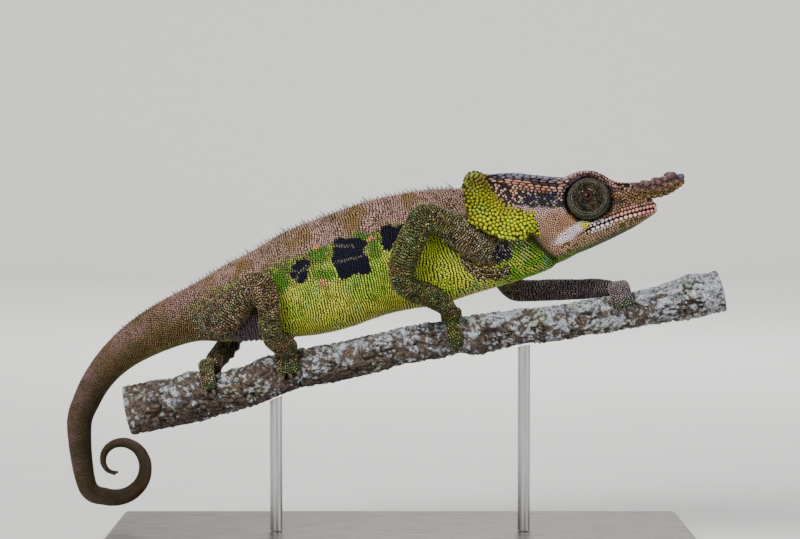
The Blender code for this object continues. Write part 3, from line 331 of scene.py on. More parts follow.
class ChameleonColours(bpy.types.PropertyGroup):
    """Colours of the skin, the scales and the eyes"""

    mauve: paint("Mauve", "Pinkish zones of the back", 170, 132, 122)
    ochre: paint("Ochre", "Orange-brown zones of the back", 128, 101, 58)
    yellow: paint("Yellow-green", "Rows of the flank", 212, 212, 74)
    leaf: paint("Leaf green", "Greener rows of the flank", 150, 190, 50)
    emerald: paint("Emerald", "Green patches of the flank", 70, 116, 26)
    teal: paint("Teal", "Cool tints in flank and throat", 84, 166, 128)
    navy: paint("Navy", "Dark blotches", 5, 7, 34)
    slate: paint("Slate", "Pale scales in the blotches and on the casque", 96, 100, 122)
    salmon: paint("Salmon", "Spots on the flank", 214, 146, 100)
    belly: paint("Belly", "Underside", 194, 186, 108)
    throat: paint("Throat", "Throat and lower neck", 104, 166, 38)
    cream: paint("Cream", "Pale granules", 192, 178, 150)
    olive: paint("Olive", "Ground of the upper flank and the tail", 96, 88, 48)
    rust: paint("Rust", "Warm granules", 148, 96, 60)
    fern: paint("Fern", "Green granules", 78, 106, 54)
    moss: paint("Moss", "Ground of the front legs", 104, 106, 56)
    bronze: paint("Bronze", "Ground of the hind legs", 122, 102, 74)
    blush: paint("Blush", "Pinkish granules of the upper legs", 164, 138, 118)
    lilac: paint("Lilac", "Pleated skin of the groin", 128, 108, 122)
    umber: paint("Umber", "Dark ground of the tail", 58, 50, 32)
    plate: paint("Casque plate", "Pinkish brown plates of the casque", 160, 114, 92)
    cheek: paint("Cheek", "Pinkish tan cheek", 184, 144, 122)
    streak: paint("Streak", "Pale streak behind the mouth", 252, 228, 230)
    orange: paint("Orange", "Orange patch under the eye", 196, 124, 56)
    lip: paint("Lip", "Plates of the lips", 214, 150, 136)
    jaw: paint("Jaw", "Sides of the lower jaw", 178, 148, 116)
    lobe: paint("Lobe", "Ear lobe", 178, 184, 16)
    lobe_upper: paint("Upper lobe", "Upper part of the ear lobe", 98, 90, 10)
    horn: paint("Snout tubercle", "Large tubercles of the snout horns", 98, 74, 72)
    gold: paint("Gold", "Small scales below the tubercles", 118, 92, 54)
    turret: paint("Eye turret", "Dark lids of the eye turrets", 33, 33, 26)
    turret_ring: paint("Turret ring", "Pale rings of the eye turrets", 140, 136, 128)
    iris: paint("Iris", "Ring of the iris", 58, 30, 27)
    pupil: paint("Pupil", "Pupil", 4, 3, 4)
    groove: paint("Groove", "Skin between the scales", 10, 9, 6)
    claw: paint("Claw", "Claws", 74, 58, 40)


class ChameleonStageSettings(bpy.types.PropertyGroup):
    """Branch, stand, floor, lights and camera"""

    bark: paint("Bark", "Grey-brown bark", 80, 68, 57)
    bark_dark: paint("Bark fissure", "Fissures of the bark", 36, 28, 22)
    lichen: paint("Lichen", "Pale crust on the bark", 178, 182, 192)
    lichen_green: paint("Green lichen", "Greenish crust on the bark", 150, 164, 130)
    heartwood: paint("Cut wood", "Sawn ends of the branch", 188, 152, 104)
    wood: paint("Stand wood", "Dark wood of the base", 62, 40, 26)
    wood_dark: paint("Stand grain", "Grain of the base", 26, 16, 10)
    floor: paint("Floor", "Pale floor", 226, 224, 220)
    distance: size("Camera distance", "From the camera to the middle of the model", 644.0)
    aim: size("Camera aim", "Height of the middle of the view", 84.2)
    elevation: FloatProperty(
        name="Camera elevation", description="How far the camera looks down", subtype="ANGLE",
        default=math.radians(2.5),
    )
    key: power("Key light", "Power of the main light", 14.0)
    backdrop: power("Backdrop light", "Power of the light on the backdrop", 45.0)
    fill: power("Fill light", "Power of the second light", 3.0)
    rim: power("Rim light", "Power of the light behind", 4.0)


class ChameleonSettings(bpy.types.PropertyGroup):
    """Everything that can be changed before the model is dressed"""

    sizes: PointerProperty(type=ChameleonSizes)
    colours: PointerProperty(type=ChameleonColours)
    stage: PointerProperty(type=ChameleonStageSettings)


def lengths(context):
    """The size settings in millimetres, by name."""
    sizes = context.scene.chameleon.sizes
    return SimpleNamespace(**{
        key: getattr(sizes, key) / MM for key, value in sizes.bl_rna.properties.items()
        if value.type == "FLOAT"
    })


def palette(group):
    """The colour settings of a group as arrays, by name."""
    return SimpleNamespace(**{
        key: np.array(getattr(group, key)) for key, value in group.bl_rna.properties.items()
        if value.subtype == "COLOR"
    })


def cubic(t, a, b, da, db):
    """The cubic curve from a at 0 to b at 1 whose slopes there are da and db."""
    return (
        (2 * t**3 - 3 * t**2 + 1) * a + (t**3 - 2 * t**2 + t) * da
        + (3 * t**2 - 2 * t**3) * b + (t**3 - t**2) * db
    )


def spline(rows, count):
    """Rows at even steps along a cubic curve whose slope at each row is half the step across it."""
    knots = np.asarray(rows, float)
    slopes = np.gradient(knots, axis=0)
    t = np.linspace(0, 1, CURVE_STEPS, endpoint=False)[:, None]
    spans = [cubic(t, *span) for span in zip(knots, knots[1:], slopes, slopes[1:])]
    dense = np.vstack([*spans, knots[-1:]])
    steps = np.linalg.norm(np.diff(dense[:, :3], axis=0), axis=1)
    along = np.concatenate([[0], np.cumsum(steps)]) / steps.sum()
    wanted = np.linspace(0.0, 1.0, count)
    return np.stack([np.interp(wanted, along, column) for column in dense.T], axis=1)


def circle(count):
    """Turns at even steps once round a circle."""
    return np.linspace(0, 2 * math.pi, count, endpoint=False)


def distances(path):
    """The distance gone at each point of a path."""
    return np.concatenate([[0], np.cumsum(np.linalg.norm(np.diff(path, axis=0), axis=1))])


def unit(vectors):
    """Vectors divided by their own length."""
    return vectors / np.maximum(np.linalg.norm(vectors, axis=-1, keepdims=True), 1e-9)


def dot(a, b):
    """The sum of the products of two sets of vectors' parts."""
    return (a * b).sum(-1)


def step(low, high, values):
    """0 below low, 1 above high, and a cubic S between them."""
    t = np.clip((np.asarray(values) - low) / (high - low), 0, 1)
    return t * t * (3 - 2 * t)


def noise(points, grain, seed):
    """Value noise from -1 to 1: numbers drawn at the corners of a cubic lattice, blended by a cubic S."""
    scaled = np.asarray(points, float) / grain + 512.0
    cell = np.floor(scaled).astype(np.int64)
    t = scaled - cell
    t = t * t * (3 - 2 * t)
    total = np.zeros(scaled.shape[:-1])
    for corner in np.ndindex(2, 2, 2):
        key = cell + corner
        code = key @ np.array([374761393, 668265263, 1440662683]) + seed * 982451653
        code = (code ^ (code >> 13)) * 1274126177
        code = (code ^ (code >> 16)) & 0xFFFF
        weight = np.prod(np.where(np.array(corner) == 1, t, 1 - t), axis=-1)
        total += (code / 32767.5 - 1) * weight
    return total


def rough(points, grain, seed):
    """Two octaves of noise, the second at half the size and half the strength."""
    return (noise(points, grain, seed) + 0.5 * noise(points, grain / 2, seed + 7)) / 1.5


def mesh_object(name, points, *groups):
    """An object from points in millimetres and arrays of faces, each array with its own number of corners."""
    mesh = bpy.data.meshes.new(name)
    mesh.vertices.add(len(points))
    mesh.vertices.foreach_set("co", (np.asarray(points, np.float32) * MM).ravel())
    groups = [np.asarray(group, np.int32) for group in groups if len(group)]
    corners = np.concatenate([group.ravel() for group in groups])
    counts = np.concatenate([np.full(len(group), group.shape[1]) for group in groups])
    mesh.loops.add(len(corners))
    mesh.loops.foreach_set("vertex_index", corners)
    mesh.polygons.add(len(counts))
    mesh.polygons.foreach_set("loop_start", np.concatenate([[0], np.cumsum(counts)[:-1]]).astype(np.int32))
    mesh.update(calc_edges=True)
    mesh.shade_smooth()
    obj = bpy.data.objects.new(name, mesh)
    bpy.context.scene.collection.objects.link(obj)
    return obj


def tint(obj, colours, name="Tint"):
    """Stores a colour for every point, as the attribute that the materials read."""
    rgba = np.ones((len(colours), 4), np.float32)
    rgba[:, :3] = np.clip(colours, 0, 1)
    layer = obj.data.color_attributes.new(name, "FLOAT_COLOR", "POINT")
    layer.data.foreach_set("color", rgba.ravel())


def weigh(obj, values, name):
    """Stores a number for every point, as an attribute that a material reads."""
    layer = obj.data.attributes.new(name, "FLOAT", "POINT")
    layer.data.foreach_set("value", np.asarray(values, np.float32))


def closed_grid(rings, offset=0):
    """Points and faces of a closed surface through rings: quads between them and a fan at each end."""
    count, sides = rings.shape[:2]
    points = np.vstack([rings.reshape(-1, 3), rings[0].mean(0), rings[-1].mean(0)])
    ring, corner = np.meshgrid(np.arange(count - 1), np.arange(sides), indexing="ij")
    after = (corner + 1) % sides
    quads = np.stack([ring * sides + corner, ring * sides + after, (ring + 1) * sides + after,
                      (ring + 1) * sides + corner], axis=-1).reshape(-1, 4)
    edge = np.arange(sides)
    ahead = (edge + 1) % sides
    last = (count - 1) * sides
    first_fan = np.stack([ahead, edge, np.full(sides, count * sides)], axis=1)
    last_fan = np.stack([last + edge, last + ahead, np.full(sides, count * sides + 1)], axis=1)
    return points, quads + offset, np.vstack([first_fan, last_fan]) + offset


def joined(name, shells):
    """One object of several closed surfaces, each given as its rings."""
    parts, total = [], 0
    for rings in shells:
        parts.append(closed_grid(rings, total))
        total += len(parts[-1][0])
    return mesh_object(name, *(np.vstack(part) for part in zip(*parts)))


def outward(obj):
    """Turns a closed mesh's faces out when the volume summed over their fans comes out negative."""
    mesh = obj.data
    mesh.calc_loop_triangles()
    points = np.empty(len(mesh.vertices) * 3)
    mesh.vertices.foreach_get("co", points)
    points = points.reshape(-1, 3)
    corners = np.empty(len(mesh.loop_triangles) * 3, np.int32)
    mesh.loop_triangles.foreach_get("vertices", corners)
    a, b, c = points[corners.reshape(-1, 3)].transpose(1, 0, 2)
    if dot(a, np.cross(b, c)).sum() < 0:
        mesh.flip_normals()
    return obj


def tube_frames(path):
    """The way along a path and two directions across it, turned as little as possible from step to step."""
    ways = unit(np.gradient(path, axis=0))
    side = unit(np.cross(ways[0], (0.3, 0.9, 0.2)))
    sides = []
    for way in ways:
        side = unit(side - way * (side @ way))
        sides.append(side)
    sides = np.array(sides)
    return ways, sides, np.cross(ways, sides)


def tube_rings(path, radii, count):
    """Round rings: the path's point plus the radius times cosine and sine of the turn across the path."""
    _, side, other = tube_frames(path)
    turn = circle(count)[None, :, None]
    spread = np.cos(turn) * side[:, None] + np.sin(turn) * other[:, None]
    return path[:, None] + np.asarray(radii)[:, None, None] * spread


def body_rows():
    """The spine's rows with the coil's, an inward spiral whose radius and thickness shrink with the turn."""
    turn = np.linspace(0, 1, 14)[1:]
    angle = math.pi + turn * COIL_TURNS * 2 * math.pi
    radius = COIL_RADII[0] + (COIL_RADII[1] - COIL_RADII[0]) * turn
    thick = COIL_THICKNESS[0] + (COIL_THICKNESS[1] - COIL_THICKNESS[0]) * turn**0.8
    sideways = COIL_SIDEWAYS[0] + (COIL_SIDEWAYS[1] - COIL_SIDEWAYS[0]) * turn
    x, z = COIL_CENTRE[0] + radius * np.cos(angle), COIL_CENTRE[1] + radius * np.sin(angle)
    return np.vstack([SPINE, np.stack([x, sideways, z, thick, thick * 0.9], axis=1)])


def body_frames(count=1200):
    """Fine rows along the body with the way along, the left side and the dorsal direction at each."""
    rows = spline(body_rows(), count)
    along = unit(np.gradient(rows[:, :3], axis=0))
    left = unit(np.array([0.0, 1.0, 0.0]) - along * along[:, 1:2])
    return rows, along, left, np.cross(left, along)


BODY = body_frames()
BODY_LENGTH = distances(BODY[0][:, :3])
VENT = float(BODY_LENGTH[int(np.argmax(BODY[0][:, 0] < VENT_X))])


def body_points(place, turn):
    """Points of the body's tall oval at a length along it and a turn from the back.

    Up is the half height times the cosine plus a low ridge at the back, and sideways is the half width times
    the sine, fuller below the middle.
    """
    rows, _, left, dorsal = BODY
    read = [np.stack([np.interp(place, BODY_LENGTH, column) for column in table.T], axis=-1)
            for table in (rows, left, dorsal)]
    rows, left, dorsal = read
    fold = np.abs((turn + math.pi) % (2 * math.pi) - math.pi)
    up = np.cos(turn) + RIDGE_HEIGHT * np.exp(-((fold / RIDGE_WIDTH) ** 2))
    across = np.sin(turn) * (1 - FLANK_FULLNESS * np.cos(turn))
    return rows[..., :3] + (rows[..., 3] * up)[..., None] * dorsal + (rows[..., 4] * across)[..., None] * left


def feature_line(points, xs):
    """A feature line's half width and height at each x."""
    dense = spline(points, 300)
    return np.stack([np.interp(xs, dense[:, 0], column) for column in dense.T[1:3]], axis=1)


def head_corners(xs):
    """The feature lines' points at each x, once round the head from the crown."""
    right = [feature_line(line, xs) for line in (CASQUE_EDGE, TEMPLE, CHEEK, JAW_SIDE, JAW_EDGE)]
    crown, chin = feature_line(CROWN, xs), feature_line(CHIN, xs)
    left = [line * (-1, 1) for line in right]
    return np.stack([crown, *left, chin, *reversed(right)], axis=1)


def closed_curve(x, corners, sides):
    """A ring at x: the closed cubic curve through the corners, read at even steps."""
    slopes = (np.roll(corners, -1, axis=0) - np.roll(corners, 1, axis=0)) / 2
    t = np.linspace(0, 1, CURVE_STEPS, endpoint=False)[None, :, None]
    after, slopes_after = np.roll(corners, -1, axis=0), np.roll(slopes, -1, axis=0)
    dense = cubic(t, corners[:, None], after[:, None], slopes[:, None], slopes_after[:, None]).reshape(-1, 2)
    dense = np.vstack([dense, dense[:1]])
    steps = np.linalg.norm(np.diff(dense, axis=0), axis=1)
    along = np.concatenate([[0], np.cumsum(steps)]) / steps.sum()
    wanted = np.linspace(0, 1, sides, endpoint=False)
    y, z = np.interp(wanted, along, dense[:, 0]), np.interp(wanted, along, dense[:, 1])
    return np.stack([np.full(sides, x), y, z], axis=1)


def head_rings(count, sides):
    """Rings across the head through its feature lines, and a blunt snout of shrinking rings."""
    xs = np.linspace(HEAD_BACK, HEAD_FRONT, count)
    rings = np.array([closed_curve(x, ring, sides) for x, ring in zip(xs, head_corners(xs))])
    middle = rings[-1].mean(axis=0)
    caps = [middle + (rings[-1] - middle) * share + (ahead, 0, 0) for share, ahead in SNOUT_CAP]
    return np.concatenate([rings, caps])


def head_side(xs, zs):
    """The head's half width at each x and z, read from its rings."""
    widths = []
    for x, z, corners in zip(xs, zs, head_corners(np.asarray(xs))):
        ring = closed_curve(x, corners, 160)
        half = ring[ring[:, 1] >= 0]
        half = half[np.argsort(half[:, 2])]
        widths.append(np.interp(z, half[:, 2], half[:, 1]))
    return np.array(widths)


def lobe_sheet(side, columns, rows):
    """The middle of an ear lobe and its outward way: lines from root to edge, pushed out by a sine."""
    mirror = np.array([1.0, side, 1.0])
    root, edge = spline(LOBE_ROOT, columns) * mirror, spline(LOBE_EDGE, columns) * mirror
    share = np.linspace(0, 1, rows)
    middle = root[:, None] + (edge - root)[:, None] * share[None, :, None]
    out = unit(np.cross(np.gradient(middle, axis=0), np.gradient(middle, axis=1)))
    out *= np.sign((out * (0, side, 0)).sum(-1).mean())
    return middle + out * LOBE_BULGE * np.sin(math.pi * share)[None, :, None], out, share


def lobe_grid(side, columns=64, rows=26):
    """An ear lobe as rings: each runs out along the outer face from root to edge and back along the inner."""
    middle, out, share = lobe_sheet(side, columns, rows)
    round_off = np.sqrt(np.clip(1 - (share - 0.02) ** 8, 0.02, 1))
    half = LOBE_THICKNESS / 2 * ((1 - 0.35 * share**3) * round_off)[None, :, None]
    outer, inner = middle + out * half, middle - out * half
    return np.concatenate([outer, inner[:, ::-1]], axis=1)


def perch_rows(count):
    """The branch's rows at even steps along it, each x, y, z and radius."""
    return spline([(x, 0.0, z, r) for x, z, r in PERCH], count)


def perch_at(x):
    """The branch's middle, radius and way at an x."""
    rows = perch_rows(400)
    at = int(np.abs(rows[:, 0] - x).argmin())
    way = unit(rows[min(at + 1, 399), :3] - rows[max(at - 1, 0), :3])
    return rows[at, :3], rows[at, 3], way


def toe_path(grip_x, side, start, reach, shift, count):
    """A toe's centre line: an arc round the branch from a start angle, in degrees from its top."""
    middle, radius, way = perch_at(grip_x)
    out = np.array([0.0, side, 0.0])
    up = unit(np.cross(way, out))
    up = up if up[2] > 0 else -up
    share = np.linspace(0, 1, count)
    angle = np.radians(start + reach * share)
    thick = TOE_RADIUS[0] + (TOE_RADIUS[1] - TOE_RADIUS[0]) * share
    lift = 1.6 * (1 - share) ** 2
    round_branch = np.outer(np.cos(angle), up) + np.outer(np.sin(angle), out)
    ring = (radius + thick * 0.92 + lift)[:, None] * round_branch
    slide = shift * (0.75 + TOE_SPLAY * share)
    return middle + ring + slide[:, None] * way, thick


def toe_paths(limb, count=14):
    """The centre lines and radii of all toes of one foot."""
    bundles = (
        (limb["toes"][0], limb["palm"] - 8.0, TOE_OUTER_REACH),
        (limb["toes"][1], limb["palm"] - 14.0, -TOE_INNER_REACH),
    )
    return [
        toe_path(limb["grip_x"], limb["side"], start, reach, (number - (many - 1) / 2) * TOE_PITCH, count)
        for many, start, reach in bundles
        for number in range(many)
    ]


def limb_rows(limb, pitch=LIMB_PITCH):
    """A limb's rows on its own side, at even steps along it."""
    rows = np.array(limb["rows"], float) * (1, limb["side"], 1, 1)
    length = np.linalg.norm(np.diff(rows[:, :3], axis=0), axis=1).sum()
    return spline(rows, int(length / pitch))


def eye_frame(side):
    """Where an eye sits, the way it looks and two directions across that."""
    forward, up = math.radians(EYE_FORWARD), math.radians(EYE_UP)
    way = (math.sin(forward), side * math.cos(forward) * math.cos(up), math.sin(up) * math.cos(forward))
    way = unit(np.array(way))
    across = unit(np.cross(way, (1.0, 0.0, 0.2)))
    return np.array([EYE[0], side * EYE[1], EYE[2]]), way, across, np.cross(way, across)


def skin_surfaces():
    """The closed surfaces that the skin is fused from: body, head, lobes, limbs and toes."""
    place = np.linspace(0, BODY_LENGTH[-1], 560)[:, None]
    turn = circle(88)[None]
    yield body_points(*np.broadcast_arrays(place, turn))
    yield head_rings(110, 120)
    for side in (-1, 1):
        yield lobe_grid(side)
    for limb in LIMBS.values():
        rows = limb_rows(limb)
        yield tube_rings(rows[:, :3], rows[:, 3], 36)
        for path, thick in toe_paths(limb):
            fine = spline(np.column_stack([path, thick]), 30)
            tip = np.sqrt(np.clip(1 - np.linspace(-4, 1, 30).clip(0) ** 2, 0.05, 1))
            yield tube_rings(fine[:, :3], fine[:, 3] * tip, 18)


def mesh_arrays(mesh):
    """A mesh's points in millimetres, its normals and its triangles."""
    mesh.calc_loop_triangles()
    points, normals = np.empty(len(mesh.vertices) * 3), np.empty(len(mesh.vertices) * 3)
    mesh.vertices.foreach_get("co", points)
    mesh.vertex_normals.foreach_get("vector", normals)
    corners = np.empty(len(mesh.loop_triangles) * 3, np.int32)
    mesh.loop_triangles.foreach_get("vertices", corners)
    return points.reshape(-1, 3) / MM, normals.reshape(-1, 3), corners.reshape(-1, 3)


def apply_modifiers(obj):
    """Puts what the modifiers make into the mesh itself."""
    graph = bpy.context.evaluated_depsgraph_get()
    mesh = bpy.data.meshes.new_from_object(obj.evaluated_get(graph))
    obj.modifiers.clear()
    obj.data = mesh
    return mesh


def smoothed(points, triangles, rounds, shrink=0.5, grow=-0.52):
    """Moves each point towards the mean of its neighbours, then back, so that the form keeps its size."""
    edges = np.vstack([triangles[:, [0, 1]], triangles[:, [1, 2]], triangles[:, [2, 0]]])
    count = len(points)
    many = np.bincount(edges.ravel(), minlength=count)[:, None]
    for _ in range(rounds):
        for share in (shrink, grow):
            total = np.empty_like(points)
            for axis in range(3):
                values = points[:, axis]
                total[:, axis] = np.bincount(edges[:, 0], values[edges[:, 1]], count)
                total[:, axis] += np.bincount(edges[:, 1], values[edges[:, 0]], count)
            points = points + share * (total / many - points)
    return points


def nearest(points, path):
    """The nearest of a path's points to each point, and how far it is."""
    index, distance = np.empty(len(points), int), np.empty(len(points))
    squares = (path**2).sum(1)
    for start in range(0, len(points), 8000):
        part = points[start:start + 8000]
        far = squares - 2 * part @ path.T
        best = far.argmin(1)
        index[start:start + 8000] = best
        distance[start:start + 8000] = np.sqrt(
            np.maximum(far[np.arange(len(part)), best] + (part**2).sum(1), 0)
        )
    return index, distance


# The parts that own points, and for each part its scales' wider groove, rounding, height share and contrast
OWNERS = ("body", "head", "right_lobe", "left_lobe", *LIMBS)
WIDER_GROOVE = np.array([0.0, 0.03, -0.03, -0.03, *[0.09] * 4])
ROUNDING = np.array([0.0, 0.2, 0.7, 0.7, *[0.15] * 4])
SCALE_HEIGHT = np.array([0.6, 0.42, 0.72, 0.72, *[0.6] * 4])
CONTRAST = np.array([0.4, 0.34, 0.3, 0.3, *[0.9] * 4])

# Where along the body the pieces of scales part, then the sides, roughness, painted rim shade and rings of
# each slot's scales. A ring is a share of the scale's reach and a share of its height.
TRUNK_PARTS = (46, 72)
COIL_START = 56
LOW_DOME = [(0.74, 0.72), (1.0, -0.1)]
HIGH_DOME = [(0.5, 0.87), (0.82, 0.52), (1.0, -0.1)]
SCALE_LOOKS = {
    "trunk": (8, 0.46, 0.38, LOW_DOME), "tail": (6, 0.5, 0.42, LOW_DOME), "head": (10, 0.44, 0.34, LOW_DOME),
    "lobe": (10, 0.42, 0.22, HIGH_DOME), "limb": (8, 0.46, 0.24, LOW_DOME),
}


def parts_of(points):
    """Which part of the animal each point lies on, how far along it and how far round it.

    Each part gives a gap, the distance beyond its own surface, and the part with the smallest gap owns the
    point. Along is in millimetres and round in radians, or from 0 at a lobe's root to 1 at its edge.
    """
    count = len(points)
    gaps, alongs, turns = (np.full((len(OWNERS), count), 99.0) for _ in range(3))
    rows, ways, left, dorsal = BODY
    at, _ = nearest(points, rows[::2, :3])
    at = at * 2
    offset = points - rows[at, :3]
    up, across = dot(offset, dorsal[at]), dot(offset, left[at])
    turn = np.arctan2(across / rows[at, 4], up / rows[at, 3])
    full = 1 - FLANK_FULLNESS * np.cos(turn)
    share = np.hypot(up / rows[at, 3], across / rows[at, 4] / full)
    gaps[0] = (share - 1) * np.minimum(rows[at, 3], rows[at, 4]) + np.abs(dot(offset, ways[at]))
    alongs[0], turns[0] = BODY_LENGTH[at], turn

    x = np.clip(points[:, 0], HEAD_BACK, HEAD_FRONT)
    xs = np.linspace(HEAD_BACK, HEAD_FRONT, 120)
    corners = head_corners(xs)
    wide = np.interp(x, xs, np.abs(corners[..., 0]).max(1))
    top, low = np.interp(x, xs, corners[..., 1].max(1)), np.interp(x, xs, corners[..., 1].min(1))
    height, middle = (top - low) / 2, (top + low) / 2
    share = np.hypot(points[:, 1] / wide, (points[:, 2] - middle) / height)
    gaps[1] = (share - 1) * np.minimum(wide, height) + np.abs(points[:, 0] - x)
    alongs[1] = points[:, 0] - HEAD_BACK
    turns[1] = np.arctan2(points[:, 1] / wide, (points[:, 2] - middle) / height)

    close = np.flatnonzero((points[:, 0] < 46) & (points[:, 0] > 14) & (points[:, 2] > 90))
    for number, side in ((2, -1), (3, 1)):
        sheet, _, _ = lobe_sheet(side, 48, 24)
        at, distance = nearest(points[close], sheet.reshape(-1, 3))
        gaps[number, close] = distance - LOBE_THICKNESS / 2
        alongs[number, close] = at // 24 / 47
        turns[number, close] = at % 24 / 23

    for number, limb in enumerate(LIMBS.values(), start=4):
        rows = limb_rows(limb)
        _, side, other = tube_frames(rows[:, :3])
        at, distance = nearest(points, rows[:, :3])
        offset = points - rows[at, :3]
        gaps[number] = distance - rows[at, 3]
        alongs[number] = at * LIMB_PITCH
        turns[number] = np.arctan2(dot(offset, other[at]), dot(offset, side[at]))
        for path, thick in toe_paths(limb):
            at, distance = nearest(points, path)
            nearer = distance - thick[at] < gaps[number]
            gaps[number] = np.where(nearer, distance - thick[at], gaps[number])
            reached = len(rows) * LIMB_PITCH + at * TOE_PATH_PITCH
            alongs[number] = np.where(nearer, reached, alongs[number])
    owner = gaps.argmin(0)
    pick = np.arange(count)
    return {"owner": owner, "along": alongs[owner, pick], "turn": turns[owner, pick]}


def spots(points, marks, ragged, seed):
    """How far inside a set of slanted ovals each point is, in millimetres, made ragged by noise."""
    flat = points[:, [0, 2]] + 0.0
    flat[:, 0] += np.where(points[:, 1] > 0, 2.0 * noise(points, 30.0, seed + 3), 0)
    inside = np.full(len(points), -99.0)
    for x, z, long, tall, tilt in marks:
        a = math.radians(tilt)
        along = (flat[:, 0] - x) * math.cos(a) + (flat[:, 1] - z) * math.sin(a)
        across = (flat[:, 1] - z) * math.cos(a) - (flat[:, 0] - x) * math.sin(a)
        share = np.hypot(along / long, across / tall)
        inside = np.maximum(inside, (1 - share) * min(long, tall))
    return inside + ragged * rough(points, 2.4, seed)


def blend(base, colour, share):
    """Mixes a colour, or a colour for each point, into the base by a share for each point."""
    share = np.clip(share, 0, 1)[:, None]
    return base * (1 - share) + colour * share


def painted(count, layers):
    """Colours of a number of points from layers, each a colour and its share at every point, laid in turn."""
    base = np.zeros((count, 3))
    for colour, share in layers:
        base = blend(base, colour, np.broadcast_to(share, count))
    return base


def chosen(colours, draw):
    """One of several colours for each number from 0 to 1."""
    table = np.array(colours)
    return table[np.minimum((draw * len(table)).astype(int), len(table) - 1)]


def redrawn(draw):
    """A second number from 0 to 1 for each first one: the rest of a large multiple."""
    return (draw * 7.13) % 1


def from_lines(points, lines):
    """The least distance, seen from the side, from each point to a set of straight lines x, z to x, z."""
    gaps = []
    for x1, z1, x2, z2 in lines:
        line, offset = np.array([x2 - x1, z2 - z1]), points[:, [0, 2]] - (x1, z1)
        share = np.clip(offset @ line / (line @ line), 0, 1)
        gaps.append(np.linalg.norm(offset - share[:, None] * line, axis=1))
    return np.min(gaps, axis=0)


def back_layers(points, along, turn, draw, inks):
    """Layers of the band along the back: a pinkish ground, bronze and olive clouds, and ochre zones."""
    second = redrawn(draw)
    stretched = np.column_stack([along, turn * 8, np.zeros(len(points))])
    yield inks.mauve, 1.0
    yield inks.bronze, 0.5 * step(0.1, 0.7, noise(stretched, 5.0, 16))
    yield inks.cream, 0.2 * (second > 0.75)
    yield inks.olive, 0.45 * step(0.1, 0.6, rough(points, 3.0, 29))
    yield inks.umber, 0.6 * (second < 0.16)
    zones = step(-0.9, 0.9, spots(points, OCHRE_PATCHES, 2.6, 15))
    yield inks.ochre, zones * (0.6 + 0.35 * (draw > 0.35))


def tail_layers(points, along, turn, draw, inks):
    """Layers of the tail: bronze and mauve by height, olive clouds, ochre rings and a gold underside."""
    high = np.cos(turn)
    yield inks.bronze, 1.0
    yield inks.mauve * 0.75, step(-0.1, 0.6, high)
    yield inks.olive, 0.7 * step(-0.1, 0.5, rough(points, 5.0, 26))
    yield inks.ochre * 0.9, 0.5 * step(0.2, 0.6, np.sin(along / 3.1) + 0.6 * noise(points, 3.0, 27))
    yield inks.gold * 1.15, 0.6 * step(0.2, -0.4, high) * step(VENT + 50, VENT + 10, along)
    yield inks.belly * 0.8, 0.6 * step(-0.5, -0.85, high) * step(VENT + 60, VENT + 20, along)
    yield inks.umber, 0.5 * (redrawn(draw) < 0.25)


